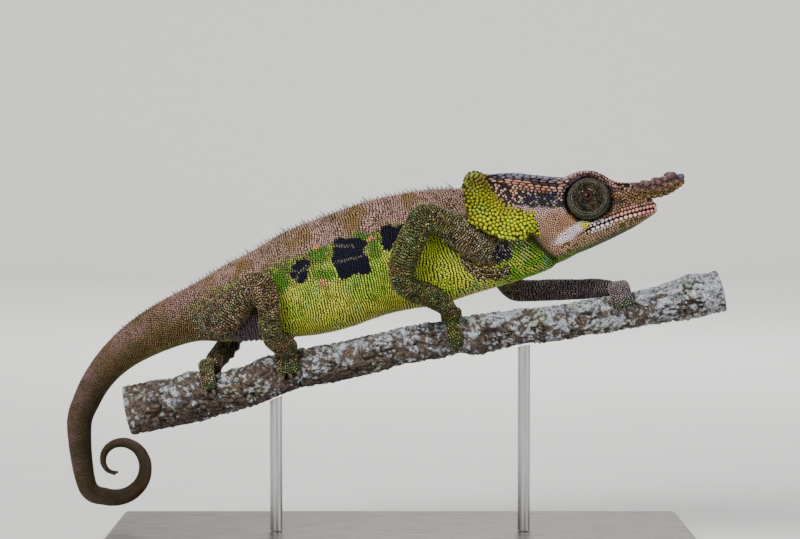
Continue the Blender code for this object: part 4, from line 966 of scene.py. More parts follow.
def body_layers(_, points, along, turn, draw, inks):
    """Layers of neck, trunk and tail: flank, throat, neck, back, blotches, spots, folds, groin and tail."""
    x, z = points[:, 0], points[:, 2]
    count, high, second = len(points), np.cos(turn), redrawn(draw)
    yield inks.leaf, 1.0
    yield inks.yellow, step(-0.45, 0.35, rough(points, 6.0, 11) + 0.8 * (draw - 0.5) - 0.5 * high)
    yield inks.ochre, 0.6 * step(0.1, 0.6, rough(points, 1.6, 12) + 0.25 * high)
    yield inks.teal, 0.5 * step(0.2, 0.6, noise(points, 3.0, 13)) * (draw > 0.6)
    yield inks.emerald, 0.5 * step(0.15, 0.6, rough(points, 2.4, 17)) * (second > 0.3)
    upper = [inks.olive, inks.fern, inks.ochre * 0.8, inks.olive, inks.leaf * 0.7]
    yield chosen(upper, second), 0.9 * step(0.0, 0.42, high + 0.14 * noise(points, 5.0, 10))
    yield inks.belly, 0.75 * step(-0.75, -0.97, high) * (second < 0.85)
    yield inks.emerald, step(-0.5, 0.4, spots(points, EMERALD_PATCHES, 0.9, 21)) * 0.85
    lime = step(-2, 4, x) * step(24, 16, x) * step(0.35, 0.0, high) * step(-0.75, -0.5, high)
    yield inks.yellow * (1.0, 1.12, 0.6), 0.7 * lime * (0.5 + 0.5 * second)

    throat = step(24, 34, x) * step(0.25, -0.25, high)
    yield inks.throat, 0.9 * throat
    yield inks.teal, 0.75 * throat * step(0.1, 0.5, noise(points, 3.0, 14))
    yield inks.yellow, 0.6 * throat * step(0.1, 0.5, noise(points, 2.4, 19))
    neck = step(12, 20, x) * step(-0.45, -0.05, high)
    yield chosen([inks.cream, inks.olive, inks.blush, inks.moss, inks.umber], draw), 0.85 * neck
    edge = 0.60 + 0.1 * noise(points, 3.0, 18)
    yield painted(count, back_layers(points, along, turn, draw, inks)), step(edge - 0.08, edge + 0.06, high)

    blotch, trunk = spots(points, NAVY_BLOTCHES, 0.7, 22), along < VENT
    navy = step(-0.15, 0.1, blotch)
    crack = from_lines(points + 0.35 * noise(points, 1.6, 23)[:, None], NAVY_CRACKS)
    faint = 0.42 * step(0.5, 0.3, crack) * step(0.0, 0.3, draw)
    yield painted(count, [(inks.navy, 1.0), (inks.cream * 0.45, faint)]), navy * trunk
    yield inks.ochre, 0.45 * step(0.1, -0.25, navy) * step(-1.1, -0.3, blotch) * trunk * (high < 0.55)
    yield inks.salmon, step(-0.1, 0.3, spots(points, SALMON_SPOTS, 0.4, 24)) * 0.95

    below = fold_height(x) - z
    fold = np.min([np.abs(below - drop) for drop in FOLD_DROPS], axis=0)
    folded = (x > FOLD_LINE[0][0]) * (x < FOLD_LINE[-1][0]) * (below > -0.6) * (below < FOLD_DROPS[-1] + 0.6)
    # Painted shade darkens the creases between the shoulder folds; their crests are blush.
    yield inks.groove * 2, 0.8 * folded * (fold > 0.35)
    yield inks.blush * 1.1, 0.9 * folded * (fold <= 0.35)
    # Painted shade darkens the groin between thigh and flank; lower down its pleated skin is lilac.
    groin = step(-37.0, -39.5, x) * step(-50.0, -48.0, x)
    yield inks.umber * 0.6, 0.9 * groin * step(76.0, 73.5, z)
    yield inks.lilac, groin * step(72.0, 70.0, z) * step(-39.0, -41.0, x)
    tail = painted(count, tail_layers(points, along, turn, draw, inks))
    # Painted shade: past the vent the tail darkens towards the coil.
    shade = 1 - 0.55 * step(VENT + 5, VENT + 65, along)
    yield tail * shade[:, None], step(VENT - 14, VENT + 8, along + 4 * noise(points, 5.0, 25))


def fold_height(x):
    """Height of the highest shoulder fold at each x."""
    fold_x, fold_z = np.array(FOLD_LINE).T
    return np.interp(x, fold_x, fold_z)


def mouth_height(x):
    """Height of the mouth's line at each x."""
    mouth_x, mouth_z = np.array(MOUTH[::-1]).T
    return np.interp(x, mouth_x, mouth_z)


def head_layers(_, points, along, turn, draw, inks):
    """Layers of the head by place: cheek, jaw, casque, dark band to the eye, brow, snout, streak and lips."""
    x, y, z = points.T
    second, line = redrawn(draw), mouth_height(x)
    low = step(102.5, 98.0, z + 0.8 * noise(points, 3.0, 30))
    yield inks.cheek * (0.8 + 0.2 * draw)[:, None], 1.0
    yield inks.streak * 0.58, (1 - low) * (0.4 + 0.2 * second)
    brown = step(1.2, 0.5, np.hypot(x - 45.2, z - 98.6) / 3.4 + 0.3 * noise(points, 1.6, 36))
    yield inks.rust, 0.4 * brown + 0.2 * second
    tones = [inks.jaw, inks.jaw * 0.8, inks.cheek * 0.9, inks.jaw, inks.olive]
    yield chosen(tones, draw), (z < line - 0.1) & (x > 46)
    lift = z - feature_line(JAW_EDGE, x)[:, 1]
    yield inks.olive * 0.9, 0.5 * step(3.2, 0.6, lift) * (second > 0.3)
    green = step(1.6, 0.3, lift) * step(57, 50, x) * step(0.9, 0.5, second)
    yield chosen([inks.fern, inks.throat, inks.emerald], draw), green
    # The jaw's underside is its own green, darkened as painted shade.
    underside = step(0.7, 0.1, lift) * step(69, 65, x) * step(48, 54, x)
    yield inks.teal * 0.16 + inks.emerald * 0.2, 0.85 * underside

    temple = feature_line(TEMPLE, x)[:, 1]
    wide, edge = feature_line(CASQUE_EDGE, x).T
    back, depth = x < 60, edge - z + 0.25 * noise(points, 1.5, 35)
    tones = [inks.plate, inks.plate * 0.8, inks.plate * 1.05, inks.mauve * 0.9, inks.plate * 0.9]
    yield chosen(tones, draw), step(-1.0, 0.4, z - temple + 0.8 * noise(points, 2.0, 31)) * back
    tones = [inks.groove, inks.groove * 2, inks.mauve, inks.plate, inks.groove]
    yield chosen(tones, draw), 0.9 * step(1.9, 1.6, depth) * step(0.4, 0.7, depth) * (x < 50)
    tones = [inks.slate * 0.8, inks.slate * 0.5, inks.navy, inks.slate * 0.7, inks.mauve * 0.6]
    outer = step(0.55, 0.8, np.abs(y) / wide + 0.1 * noise(points, 2.0, 37))
    top = 0.8 * step(0.4, -0.4, edge - z) * back * np.maximum(outer, 0.6 * (second > 0.7))
    yield chosen(tones, draw), np.maximum(step(0.9, 0.6, depth) * (x < 50), top)

    beyond = np.abs(z - np.interp(x, *DARK_BAND)) - np.interp(x, *DARK_BAND_WIDTH)
    band = step(0.6, -0.2, beyond + 0.5 * rough(points, 1.8, 32)) * step(51, 49, x)
    tones = [inks.groove, inks.navy, inks.slate * 0.5, inks.groove * 2, inks.slate * 0.9, inks.navy,
             inks.groove, inks.cream * 0.5]
    paler = [inks.groove, inks.plate, inks.cream * 0.9, inks.groove, inks.mauve, inks.navy]
    yield np.where((x < 35)[:, None], chosen(paler, draw), chosen(tones, draw)), 0.95 * band
    from_eye = np.hypot(x - EYE[0], z - EYE[2])
    tones = [inks.mauve, inks.streak * 0.36, inks.plate * 0.8, inks.mauve * 0.7, inks.horn]
    yield chosen(tones, draw), step(9.6, 8.4, from_eye) * (z > temple - 1)
    yield inks.turret, step(8.0, 6.9, from_eye) * (z < temple + 3)

    tones = [inks.plate * 1.2, inks.mauve, inks.gold, inks.plate * 0.7, inks.groove * 3, inks.horn]
    yield chosen(tones, draw), step(60, 62.5, x) * (z > line)
    gilt = np.hypot((x - 66.5) / 4.0, (z - 105.0) / 1.9)
    tones = [inks.gold, inks.ochre * 0.8, inks.gold * 0.6, inks.plate * 0.8]
    yield chosen(tones, draw), 0.8 * step(1.3, 0.7, gilt) * (z > line)
    # Painted shade: a dark line along the snout under the horn.
    shade = np.exp(-((from_lines(points, SNOUT_SHADE) / 0.6) ** 2))
    yield inks.groove * 2, 0.75 * shade * (draw < 0.8)

    slant = math.radians(33)
    ahead = (x - 48.8) * math.cos(slant) + (z - 95.2) * math.sin(slant)
    across = (z - 95.2) * math.cos(slant) - (x - 48.8) * math.sin(slant)
    streak = step(1.25, 0.8, np.hypot(ahead / 5.6, across / 1.5) + 0.15 * noise(points, 1.2, 33))
    yield inks.streak * (0.85 + 0.15 * draw)[:, None], streak
    orange = step(1.3, 0.6, np.hypot(x - 48.0, z - 99.3) / 1.6 + 0.3 * noise(points, 1.0, 34))
    yield inks.orange, 0.6 * orange * (second > 0.35)
    yield inks.yellow, step(1.2, 0.7, np.hypot((x - 52.7) / 1.6, (z - 97.3) / 1.0))
    tones = [inks.lip, inks.lip * 0.85, inks.lip * 1.05, inks.lip, inks.lip * 0.9]
    paler = 0.65 * (z < line) * step(70, 66, x)
    layers = [(chosen(tones, draw), 1.0), (inks.cream * 1.25, paler), (inks.streak * 0.72, step(62, 59, x))]
    yield painted(len(x), layers), step(1.6, 1.4, np.abs(z - line)) * (x > 54)
    tones = [inks.lip * 0.7, inks.gold, inks.plate, inks.lip * 0.8]
    yield chosen(tones, draw), 0.8 * step(2.8, 2.4, z - line) * step(1.4, 1.6, z - line) * (x > 57)
    yield inks.olive, 0.6 * step(46, 40, x) * step(97, 93, z + 0.3 * (x - 42))
    yield inks.groove, 0.9 * step(0.4, 0.2, np.abs(z - line)) * (x > 53.5)


def lobe_layers(_, points, along, out, draw, inks):
    """Layers of an ear lobe: olive yellow above, yellow-green below and in front, dark at the root."""
    yield inks.lobe_upper, 1.0
    yield inks.lobe, step(0.2, 0.75, along + 0.15 * noise(points, 3.0, 40))
    yield inks.leaf, 0.45 * step(-0.1, 0.6, noise(points, 2.6, 41))
    yield inks.ochre, 0.3 * (draw > 0.7) + 0.35 * step(0.3, 0.05, out)
    yield inks.groove, 0.6 * step(0.05, 0.0, along)


def limb_layers(name, points, along, turn, draw, inks):
    """Layers of a leg: a mossy or bronze ground, sparse pale, green and rusty granules, and green toes."""
    reach, second, fore = len(limb_rows(LIMBS[name])) * LIMB_PITCH, redrawn(draw), "fore" in name
    upper = step(reach * 0.42, reach * 0.2, along + 5 * noise(points, 4.0, 51))
    ground = (inks.moss if fore else inks.bronze) * (0.7 + 0.5 * draw)[:, None]
    ground = blend(ground, inks.blush * (0.75 + 0.4 * second)[:, None], (0.6 if fore else 0.25) * upper)
    yield ground * (1 + (0.1 if fore else 0.4) * (1 - upper))[:, None], 1.0
    yield inks.fern, 0.6 * step(-0.1, 0.5, noise(points, 3.0, 52)) * (1 - 0.6 * upper)
    yield inks.rust, 0.3 * step(0.2, 0.7, noise(points, 2.4, 53))
    yield inks.ochre, 0.5 * step(0.1, 0.6, noise(points, 2.0, 55)) * (second > 0.4)
    yield inks.teal * 0.6, 0.4 * step(0.1, 0.6, noise(points, 1.8, 56)) * (draw > 0.4)
    yield inks.cream, 0.5 * (second > 0.93)
    yield inks.umber, 0.7 * (second < 0.2) + 0.45 * step(0.1, 0.5, noise(points, 1.6, 54))
    if name == "left_fore":
        yield inks.lilac * 1.15, 0.7 * step(12, 20, along)
    tones = [inks.fern, inks.emerald * 0.8, inks.fern * 0.8, inks.teal * 0.4]
    yield chosen(tones, draw), 0.7 * step(reach + 4.5, reach + 9.5, along)


PART_LAYERS = (body_layers, head_layers, lobe_layers, lobe_layers, *[limb_layers] * len(LIMBS))


def markings(points, parts, draw, inks):
    """The colour of skin or scale at each point, the same for both, from the part that it lies on."""
    owner = parts["owner"]
    colours = np.zeros((len(points), 3))
    for number, (name, layers) in enumerate(zip(OWNERS, PART_LAYERS)):
        own = np.flatnonzero(owner == number)
        if len(own):
            values = (points[own], parts["along"][own], parts["turn"][own], draw[own])
            colours[own] = painted(len(own), layers(name, *values, inks))
    low = (owner != 2) & (owner != 3)
    tones = [inks.navy, inks.slate, inks.navy, inks.navy, inks.lilac, inks.cream * 0.8]
    mottled = 0.9 * low * step(-0.3, 0.3, spots(points, [NAVY_NECK], 1.2, 28))
    colours = blend(colours, chosen(tones, redrawn(draw)), mottled)
    # Painted shade: the crease of the fold behind the jaw is darkened to a deep green.
    crease = np.exp(-((from_lines(points, JAW_FOLD) / 0.8) ** 2))
    return blend(colours, inks.emerald * 0.25, 0.85 * low * crease)


def relief(points, coat):
    """How far the fused skin moves along its normals: in by the coat, then folds, pleats and the mouth."""
    x, y, z = points.T
    move = np.full(len(points), -coat)
    drop = fold_height(x) - z
    near = step(16.0, 18.5, x) * step(32.5, 30.5, x) * step(-1.2, -0.4, drop) * step(3.8, 2.9, drop)
    move += 0.45 * near * np.cos(drop * 2 * math.pi / FOLD_DROPS[1])
    groin = step(-38.0, -41.0, x) * step(-52.0, -49.0, x) * step(70.5, 67.5, z)
    move += 0.35 * groin * np.sin(x * 2 * math.pi / 1.5)
    behind_jaw = from_lines(points, JAW_FOLD) + 9 * (np.abs(y) < 3)
    move += -0.5 * np.exp(-((behind_jaw / 0.6) ** 2)) + 0.2 * np.exp(-(((behind_jaw - 1.6) / 0.8) ** 2))
    gap = np.abs(z - mouth_height(x)) + 9 * (x < 50.5)
    move += -0.6 * np.exp(-((gap / 0.35) ** 2)) + 0.25 * np.exp(-(((gap - 1.1) / 0.6) ** 2))
    for side in (-1, 1):
        hole = np.linalg.norm(points - (NOSTRIL[0], side * 5.2, NOSTRIL[1]), axis=1)
        move += -0.7 * step(1.5, 0.5, hole)
    return move


def sink_sockets(points):
    """Presses the skin down round each eye: inside the turret's radius it lies below the turret's foot."""
    for side in (-1, 1):
        place, way, _, _ = eye_frame(side)
        offset = points - place
        height = offset @ way
        radial = np.linalg.norm(offset - height[:, None] * way, axis=1)
        floor = -1.4 + 3.2 * step(TURRET_RADIUS - 0.4, TURRET_RADIUS + 1.6, radial) ** 2 * 2.5
        low = np.where((height > floor) & (radial < TURRET_RADIUS + 1.4) & (height > -4), floor - height, 0)
        points = points + low[:, None] * way
    return points


def fused_skin(sizes, faces):
    """Fuses the closed surfaces at one grain, smooths the joins, adds the relief and thins the mesh."""
    skin = joined("skin", skin_surfaces())
    fuse = skin.modifiers.new("fuse", "REMESH")
    fuse.mode = "VOXEL"
    fuse.voxel_size = sizes.voxel * MM
    mesh = apply_modifiers(skin)
    at, _, triangles = mesh_arrays(mesh)
    at = smoothed(at, triangles, 6)
    at = smoothed(at, triangles, 3, 0.4, 0.0)
    mesh.vertices.foreach_set("co", (at * MM).ravel())
    mesh.update()
    at, normals, triangles = mesh_arrays(mesh)
    at = at + normals * relief(at, sizes.coat)[:, None]
    at = sink_sockets(at)
    mesh.vertices.foreach_set("co", (at * MM).ravel())
    mesh.update()
    thin = skin.modifiers.new("thin", "DECIMATE")
    thin.ratio = min(1.0, faces / len(triangles))
    apply_modifiers(skin).shade_smooth()
    return outward(skin)


# How far the tops of the body's rows lean forwards, as a share of the half height, at lengths along the body
LEAN_AT = (20, 30, 40, 50, VENT - 25, VENT - 5, VENT + 40, VENT + 80)
LEAN = (0.7, 0.4, 0.0, -0.1, -0.1, -0.5, -0.5, 0)


def body_lattice(sizes):
    """Roots of the scales in rows round neck, trunk and tail: places along the body, then turns in each row.

    Rows stand a row pitch apart, wider at the neck and closer towards the tip of the tail, and every second
    row is shifted by half a scale. A slow noise bends the rows. They lean forwards under the throat, and the
    tops of the rows lean forwards behind that and on the root of the tail.
    """
    made, draws = [], np.random.default_rng(67)
    place, number = 13.0, 0
    while place < BODY_LENGTH[-1] - 1.5:
        tall, wide = (np.interp(place, BODY_LENGTH, BODY[0][:, column]) for column in (3, 4))
        pitch = sizes.body_row * np.interp(place, (34, 52), (1.25, 1.0))
        pace = sizes.body_step
        if place > VENT:
            pitch = sizes.tail_step * min(1.0, 0.35 + 0.65 * tall / 9.0)
            pace = pitch * 0.92
        many = int(math.pi * (3 * (tall + wide) - math.sqrt((3 * tall + wide) * (tall + 3 * wide))) / pace)
        turn = (np.arange(many) + 0.5 * (number % 2)) / many * 2 * math.pi
        turn = turn + draws.normal(0, 0.15, many) * 2 * math.pi / many
        places = place + draws.normal(0, 0.07, many) * pitch
        made.append(np.column_stack([places, turn, *np.tile([[pitch], [pace], [tall]], many)]))
        place += pitch
        number += 1
    place, turn, pitch, pace, tall = np.vstack(made).T
    points = body_points(place, turn)
    lean = tall * np.interp(place, LEAN_AT, LEAN)
    level = place + (1.1 * noise(points, 6.0, 61) + 0.55 * noise(points, 1.8, 62)) * pitch
    at, beside = (np.maximum(level + lean * np.cos(turn + ahead), 0.5) for ahead in (0, 0.05))
    points = body_points(at, turn)
    ways = unit(body_points(at + 0.5, turn) - points)
    across = body_points(beside, turn + 0.05) - points
    high = np.cos(turn)
    groove = np.where(place < VENT, sizes.row_groove, 0.3 * pitch) * (1 + 0.75 * step(0.2, -0.3, high))
    return {
        "at": points, "way": unit(np.cross(across, np.cross(ways, across))),
        "pitch": np.maximum(pitch, pace), "groove": groove * (1 - 0.3 * step(0.5, 0.65, high)),
        "gap": np.full(len(points), 0.02), "ridge": np.where(high < 0.59, 1.0, 0.7),
        "owner": np.zeros(len(points), int), "long": np.ones(len(points)),
    }


def limb_lattice(sizes):
    """Roots of the granules in rings round each leg, every second ring shifted by half a granule.

    A slow noise bends the rings, and a small random draw shifts each granule along the leg and round it.
    """
    made, draws = [], np.random.default_rng(68)
    for owner, limb in enumerate(LIMBS.values(), start=4):
        rows = limb_rows(limb, sizes.limb_row)
        ways, side, other = tube_frames(rows[:, :3])
        for number, row in enumerate(rows):
            many = int(2 * math.pi * row[3] / sizes.limb_step)
            turn = np.arange(many) + 0.5 * (number % 2) + draws.normal(0, 0.13, many)
            turn = (turn / many * 2 * math.pi)[:, None]
            at = row[:3] + row[3] * (np.cos(turn) * side[number] + np.sin(turn) * other[number])
            bend = 1.3 * noise(at, 4.0, 63) + 0.7 * noise(at, 1.3, 64) + draws.normal(0, 0.09, many)
            bend = bend * sizes.limb_row
            at = at + ways[number] * bend[:, None]
            made.append(np.column_stack([at, np.tile(ways[number], (many, 1)), np.full(many, owner)]))
    table = np.vstack(made)
    count = len(table)
    return {"at": table[:, :3], "way": table[:, 3:6], "pitch": np.full(count, sizes.limb_row),
            "groove": np.full(count, 0.23), "gap": np.full(count, 0.14), "ridge": np.full(count, 0.35),
            "owner": table[:, 6].astype(int), "long": np.ones(count)}


# Laid rows of scales on the head. Lips: height over the mouth's line, pitch and how far back. Casque's side:
# pitches from its edge down. Crown: shares of the way in from the edge. Brow: first x, last x, pitch, drop
# and share of the half width.
LIP_ROWS = (
    (0.8, 1.25, 53.5), (-0.85, 1.5, 53.5), (1.95, 0.95, 56.0), (-2.05, 1.0, 54.0), (-2.95, 0.85, 53.0),
    (-3.75, 0.8, 53.0),
)
CASQUE_PITCHES = (2.6, 2.3, 2.5, 2.1, 1.6, 1.1)
CASQUE_SHARE = 0.165
CROWN_SHARES = (0.13, 0.27)
BROW_ROWS = ((49.0, 68.0, 0.95, 0.0, 1.0), (49.5, 61.0, 0.85, 0.9, 1.0), (49.0, 66.0, 0.95, -0.1, 0.86))
FOLD_HALF_WIDTH = 12.0
FOLD_PITCH = 0.66


def head_rows():
    """Roots of the rows that the head and shoulder show, each with its grooves within and beside the row.

    They are the plates of both lips, the long plates of the casque's side and top, the granules of the brow
    and the folds behind the ear lobe.
    """
    lines = []
    line = spline([(x, 0.0, z) for x, z in MOUTH], 40)
    left = np.stack([line[:, 0], head_side(line[:, 0], line[:, 2]), line[:, 2]], axis=1)
    lips = np.vstack([left[::-1] * (1, -1, 1), [(HEAD_FRONT + 0.8, 0.0, MOUTH[0][1] + 0.1)], left])
    for lift, pitch, back in LIP_ROWS:
        row = row_roots(lips + (0, 0, lift), pitch)
        lines.append((row[row[:, 0] > back], 0.12, 0.2 if abs(lift) < 1 else 0.1, 0.2, 1, 1.0))
    xs = np.linspace(24.0, 49.0, 60)
    edge, temple, crown = (feature_line(rows, xs) for rows in (CASQUE_EDGE, TEMPLE, CROWN))
    for side in (-1, 1):
        for number, pitch in enumerate(CASQUE_PITCHES):
            middle = edge * (1 - CASQUE_SHARE * number) + temple * CASQUE_SHARE * number
            row = row_roots(np.column_stack([xs, side * middle[:, 0], middle[:, 1]]), pitch)
            lines.append(((row[1:] + row[:-1]) / 2 if number % 2 else row, 0.2, 0.16, 0.2, 1, pitch / 1.1))
        for share in CROWN_SHARES:
            middle = edge * (1 - share) + crown * share
            row = row_roots(np.column_stack([xs, side * middle[:, 0], middle[:, 1]]), 1.8)
            lines.append((row, 0.14, 0.1, 0.0, 1, 1.6))
        brow = spline(CASQUE_EDGE, 240)
        for first, last, pitch, drop, inward in BROW_ROWS:
            part = brow[(brow[:, 0] > first) & (brow[:, 0] < last)] * (1, side * inward, 1) - (0, 0, drop)
            lines.append((row_roots(part, pitch), 0.08, 0.08, 0.0, 1, 1.0))
        for drop in FOLD_DROPS:
            fold = spline([(x, side * FOLD_HALF_WIDTH, z - drop) for x, z in FOLD_LINE], 30)
            lines.append((row_roots(fold, FOLD_PITCH), 0.02, 0.5, 0.0, 0, 1.0))
    rows = {"at": np.vstack([line[0] for line in lines])}
    rows["way"] = unit(np.vstack([np.gradient(line[0], axis=0) for line in lines]))
    rows["pitch"] = np.concatenate(
        [np.full(len(line[0]), np.linalg.norm(line[0][1] - line[0][0])) for line in lines]
    )
    for part, key in enumerate(("groove", "gap", "ridge", "owner", "long"), start=1):
        rows[key] = np.concatenate([np.full(len(line[0]), line[part]) for line in lines])
    return rows


def row_roots(line, pitch):
    """Points at even steps along a line."""
    length = np.linalg.norm(np.diff(line, axis=0), axis=1).sum()
    return spline(line, max(2, int(round(length / pitch)) + 1))


def spacings(points, parts, sizes):
    """The distance between neighbouring scales at each point, by part and place."""
    x, _, z = points.T
    owner, along = parts["owner"], parts["along"]
    wanted = np.full(len(points), sizes.limb_step)
    body = owner == 0
    wanted[body] = np.interp(along[body], (0, 30, VENT, BODY_LENGTH[-1]), (0.8, 0.75, 0.75, 0.45))
    head = owner == 1
    temple = feature_line(TEMPLE, x)[:, 1]
    from_eye = np.hypot(x - EYE[0], z - EYE[2])
    wanted[head] = sizes.cheek_step
    wanted[head & (z > temple - 2.5)] = 0.72
    wanted[head & (z > temple)] = 0.95
    wanted[head & (z > temple + 2.2)] = sizes.plate_step
    wanted[head & (from_eye < 9.5) & (z > temple)] = 0.85
    wanted[head & (x > 60.5)] = 0.74
    wanted[head & (z < mouth_height(x) - 2)] = 0.66
    wanted[(owner == 2) | (owner == 3)] = sizes.lobe_step
    return wanted * (1 + 0.12 * noise(points, 2.0, 71))


def spread(points, normals, reach, fixed):
    """Picks points in turn, the first fixed ones before the rest, and drops those too near a picked one.

    Near means within the picked point's reach and facing its way, so that both faces of a lobe are covered.
    """
    tree = KDTree(len(points))
    for index, point in enumerate(points.tolist()):
        tree.insert(point, index)
    tree.balance()
    dropped = np.zeros(len(points), bool)
    picked = []
    facing = normals.tolist()
    for index, (point, far) in enumerate(zip(points.tolist(), reach.tolist())):
        if dropped[index]:
            continue
        picked.append(index)
        nx, ny, nz = facing[index]
        for _, other, _ in tree.find_range(point, far):
            if other > index and other >= fixed and not dropped[other]:
                ox, oy, oz = facing[other]
                dropped[other] = nx * ox + ny * oy + nz * oz > 0
    return np.array(picked)


def scale_roots(skin, sizes, seed=5):
    """Where every scale grows: the laid rows first, then granules as close as their spacing lets them.

    Twice each granule then moves towards the middle of its cell and back onto the skin.
    """
    points, normals, triangles = mesh_arrays(skin.data)
    parts = parts_of(points)
    wanted = spacings(points, parts, sizes)
    tree = BVHTree.FromPolygons(points.tolist(), triangles.tolist())
    laid = [head_rows(), limb_lattice(sizes), body_lattice(sizes)]
    laid = {key: np.concatenate([rows[key] for rows in laid]) for key in laid[0]}
    hits = [tree.find_nearest(point) for point in laid["at"].tolist()]
    face = np.array([hit[2] for hit in hits])
    far = np.array([hit[3] for hit in hits])
    found = parts["owner"][triangles[face, 0]]
    good = (far < np.where(laid["owner"] == 0, 1.0, 1.8)) & (found == laid["owner"])
    fold = np.abs(laid["at"][:, 1]) == FOLD_HALF_WIDTH
    good |= fold & (found == 0)
    laid = {key: values[good] for key, values in laid.items()}
    laid["at"] = np.array([tuple(hit[0]) for hit in hits])[good]
    face = face[good]
    room = np.where(laid["gap"] > 0.3, 0.62, np.minimum(laid["pitch"] * 0.5, 0.45))
    close = spread(laid["at"], normals[triangles[face, 0]], room, 0)
    laid = {key: values[close] for key, values in laid.items()}
    face, many_laid = face[close], len(close)

    draws = np.random.default_rng(seed)
    corners = points[triangles]
    area = np.linalg.norm(np.cross(corners[:, 1] - corners[:, 0], corners[:, 2] - corners[:, 0]), axis=1) / 2
    density = area / wanted[triangles[:, 0]] ** 2
    many = int(density.sum() * 9)
    pick = draws.choice(len(triangles), many, p=density / density.sum())
    a, b = draws.random(many), draws.random(many)
    flip = a + b > 1
    a, b = np.where(flip, 1 - a, a)[:, None], np.where(flip, 1 - b, b)[:, None]
    free = corners[pick, 0] * (1 - a - b) + corners[pick, 1] * a + corners[pick, 2] * b
    off_line = np.abs(free[:, 2] - mouth_height(free[:, 0])) > 0.6
    out_of_mouth = off_line | (free[:, 0] < 53.0) | (free[:, 2] < 90)
    free, pick = free[out_of_mouth], pick[out_of_mouth]

    at = np.vstack([laid["at"], free])
    face = np.concatenate([face, pick])
    pitch = np.concatenate([laid["pitch"], wanted[triangles[pick, 0]]])
    clear = np.where(laid["owner"] == 1, laid["pitch"] * 0.68, np.minimum(laid["pitch"] * 0.72, 0.95))
    reach = np.concatenate([clear, wanted[triangles[pick, 0]] * 0.84])
    picked = spread(at, normals[triangles[face, 0]], reach, many_laid)
    at, face, pitch = at[picked], face[picked], pitch[picked]
    own = picked < many_laid
    way = np.tile((1.0, 0.0, 0.15), (len(at), 1))
    way[own] = laid["way"][picked[own]]
    groove = sizes.groove + WIDER_GROOVE[parts["owner"][triangles[face, 0]]]
    base = {"groove": groove, "gap": groove + 0.0, "ridge": np.zeros(len(at)), "long": np.ones(len(at))}
    for key, values in base.items():
        values[own] = laid[key][picked[own]]
    for round_number in range(3):
        vertex = triangles[face, 0]
        normal = unit(normals[triangles[face]].mean(1))
        flat_way = unit(way - normal * dot(way, normal)[:, None])
        roots = {"at": at, "normal": normal, "way": flat_way, "pitch": pitch, **base}
        if round_number == 2:
            break
        cell = cell_reach(roots, 12, 0.0)
        angle = np.arange(12) * math.pi / 6
        pull = [(cell**3 * turn(angle)).sum(1) / (cell**2).sum(1) / 1.5 for turn in (np.cos, np.sin)]
        moved = at + 0.9 * (pull[0][:, None] * flat_way + pull[1][:, None] * np.cross(normal, flat_way))
        free_ones = np.flatnonzero(~own)
        hits = [tree.find_nearest(point) for point in moved[free_ones].tolist()]
        at[free_ones] = [tuple(hit[0]) for hit in hits]
        face[free_ones] = [hit[2] for hit in hits]
    return {**roots, **{key: parts[key][vertex] for key in ("owner", "along", "turn")}}


def plain_roots(at, normal, way, along, turn, pitch, groove):
    """Roots of granules that are round and alike, with one pitch and one groove."""
    roots = {"at": at, "normal": normal, "way": way, "along": along, "turn": turn}
    values = {"pitch": pitch, "groove": groove, "gap": groove, "ridge": 0.0, "long": 1.0}
    return {**roots, **{key: np.full(len(at), value) for key, value in values.items()}}


def cell_reach(roots, sides, groove_share=1.0):
    """How far each scale reaches in each direction: half way to its neighbours, less half a groove.

    In the plane across a root's normal, the line half way to a neighbour is crossed, in a direction, at half
    the square of its distance over the part of its offset in that direction. The least of these is the reach.
    Long plates do this with lengths along their way divided by their length. The groove has one width along a
    root's way and another across it.
    """
    at, normal, way = roots["at"], roots["normal"], roots["way"]
    long = roots["long"][:, None]
    across = np.cross(normal, way)
    tree = KDTree(len(at))
    for index, point in enumerate(at.tolist()):
        tree.insert(point, index)
    tree.balance()
    near = np.array([[found[1] for found in tree.find_n(point, 14)][1:] for point in at.tolist()])
    offset = at[near] - at[:, None]
    lift = dot(offset, normal[:, None])
    offset = offset - normal[:, None] * lift[..., None]
    a, b = dot(offset, way[:, None]) / long, dot(offset, across[:, None])
    square = a**2 + b**2
    facing = (dot(normal[near], normal[:, None]) > 0.2) & (square > 0.01)
    angle = np.arange(sides) * 2 * math.pi / sides
    part = a[..., None] * np.cos(angle) + b[..., None] * np.sin(angle)
    ahead = facing[..., None] & (part > 1e-4)
    reach = np.where(ahead, square[..., None] / 2 / np.maximum(part, 1e-4), 99).min(1)
    groove = roots["groove"][:, None] / long * np.cos(angle) ** 2 + roots["gap"][:, None] * np.sin(angle) ** 2
    return np.clip(reach - groove * groove_share / 2, 0.08, roots["pitch"][:, None] / long * 0.8)


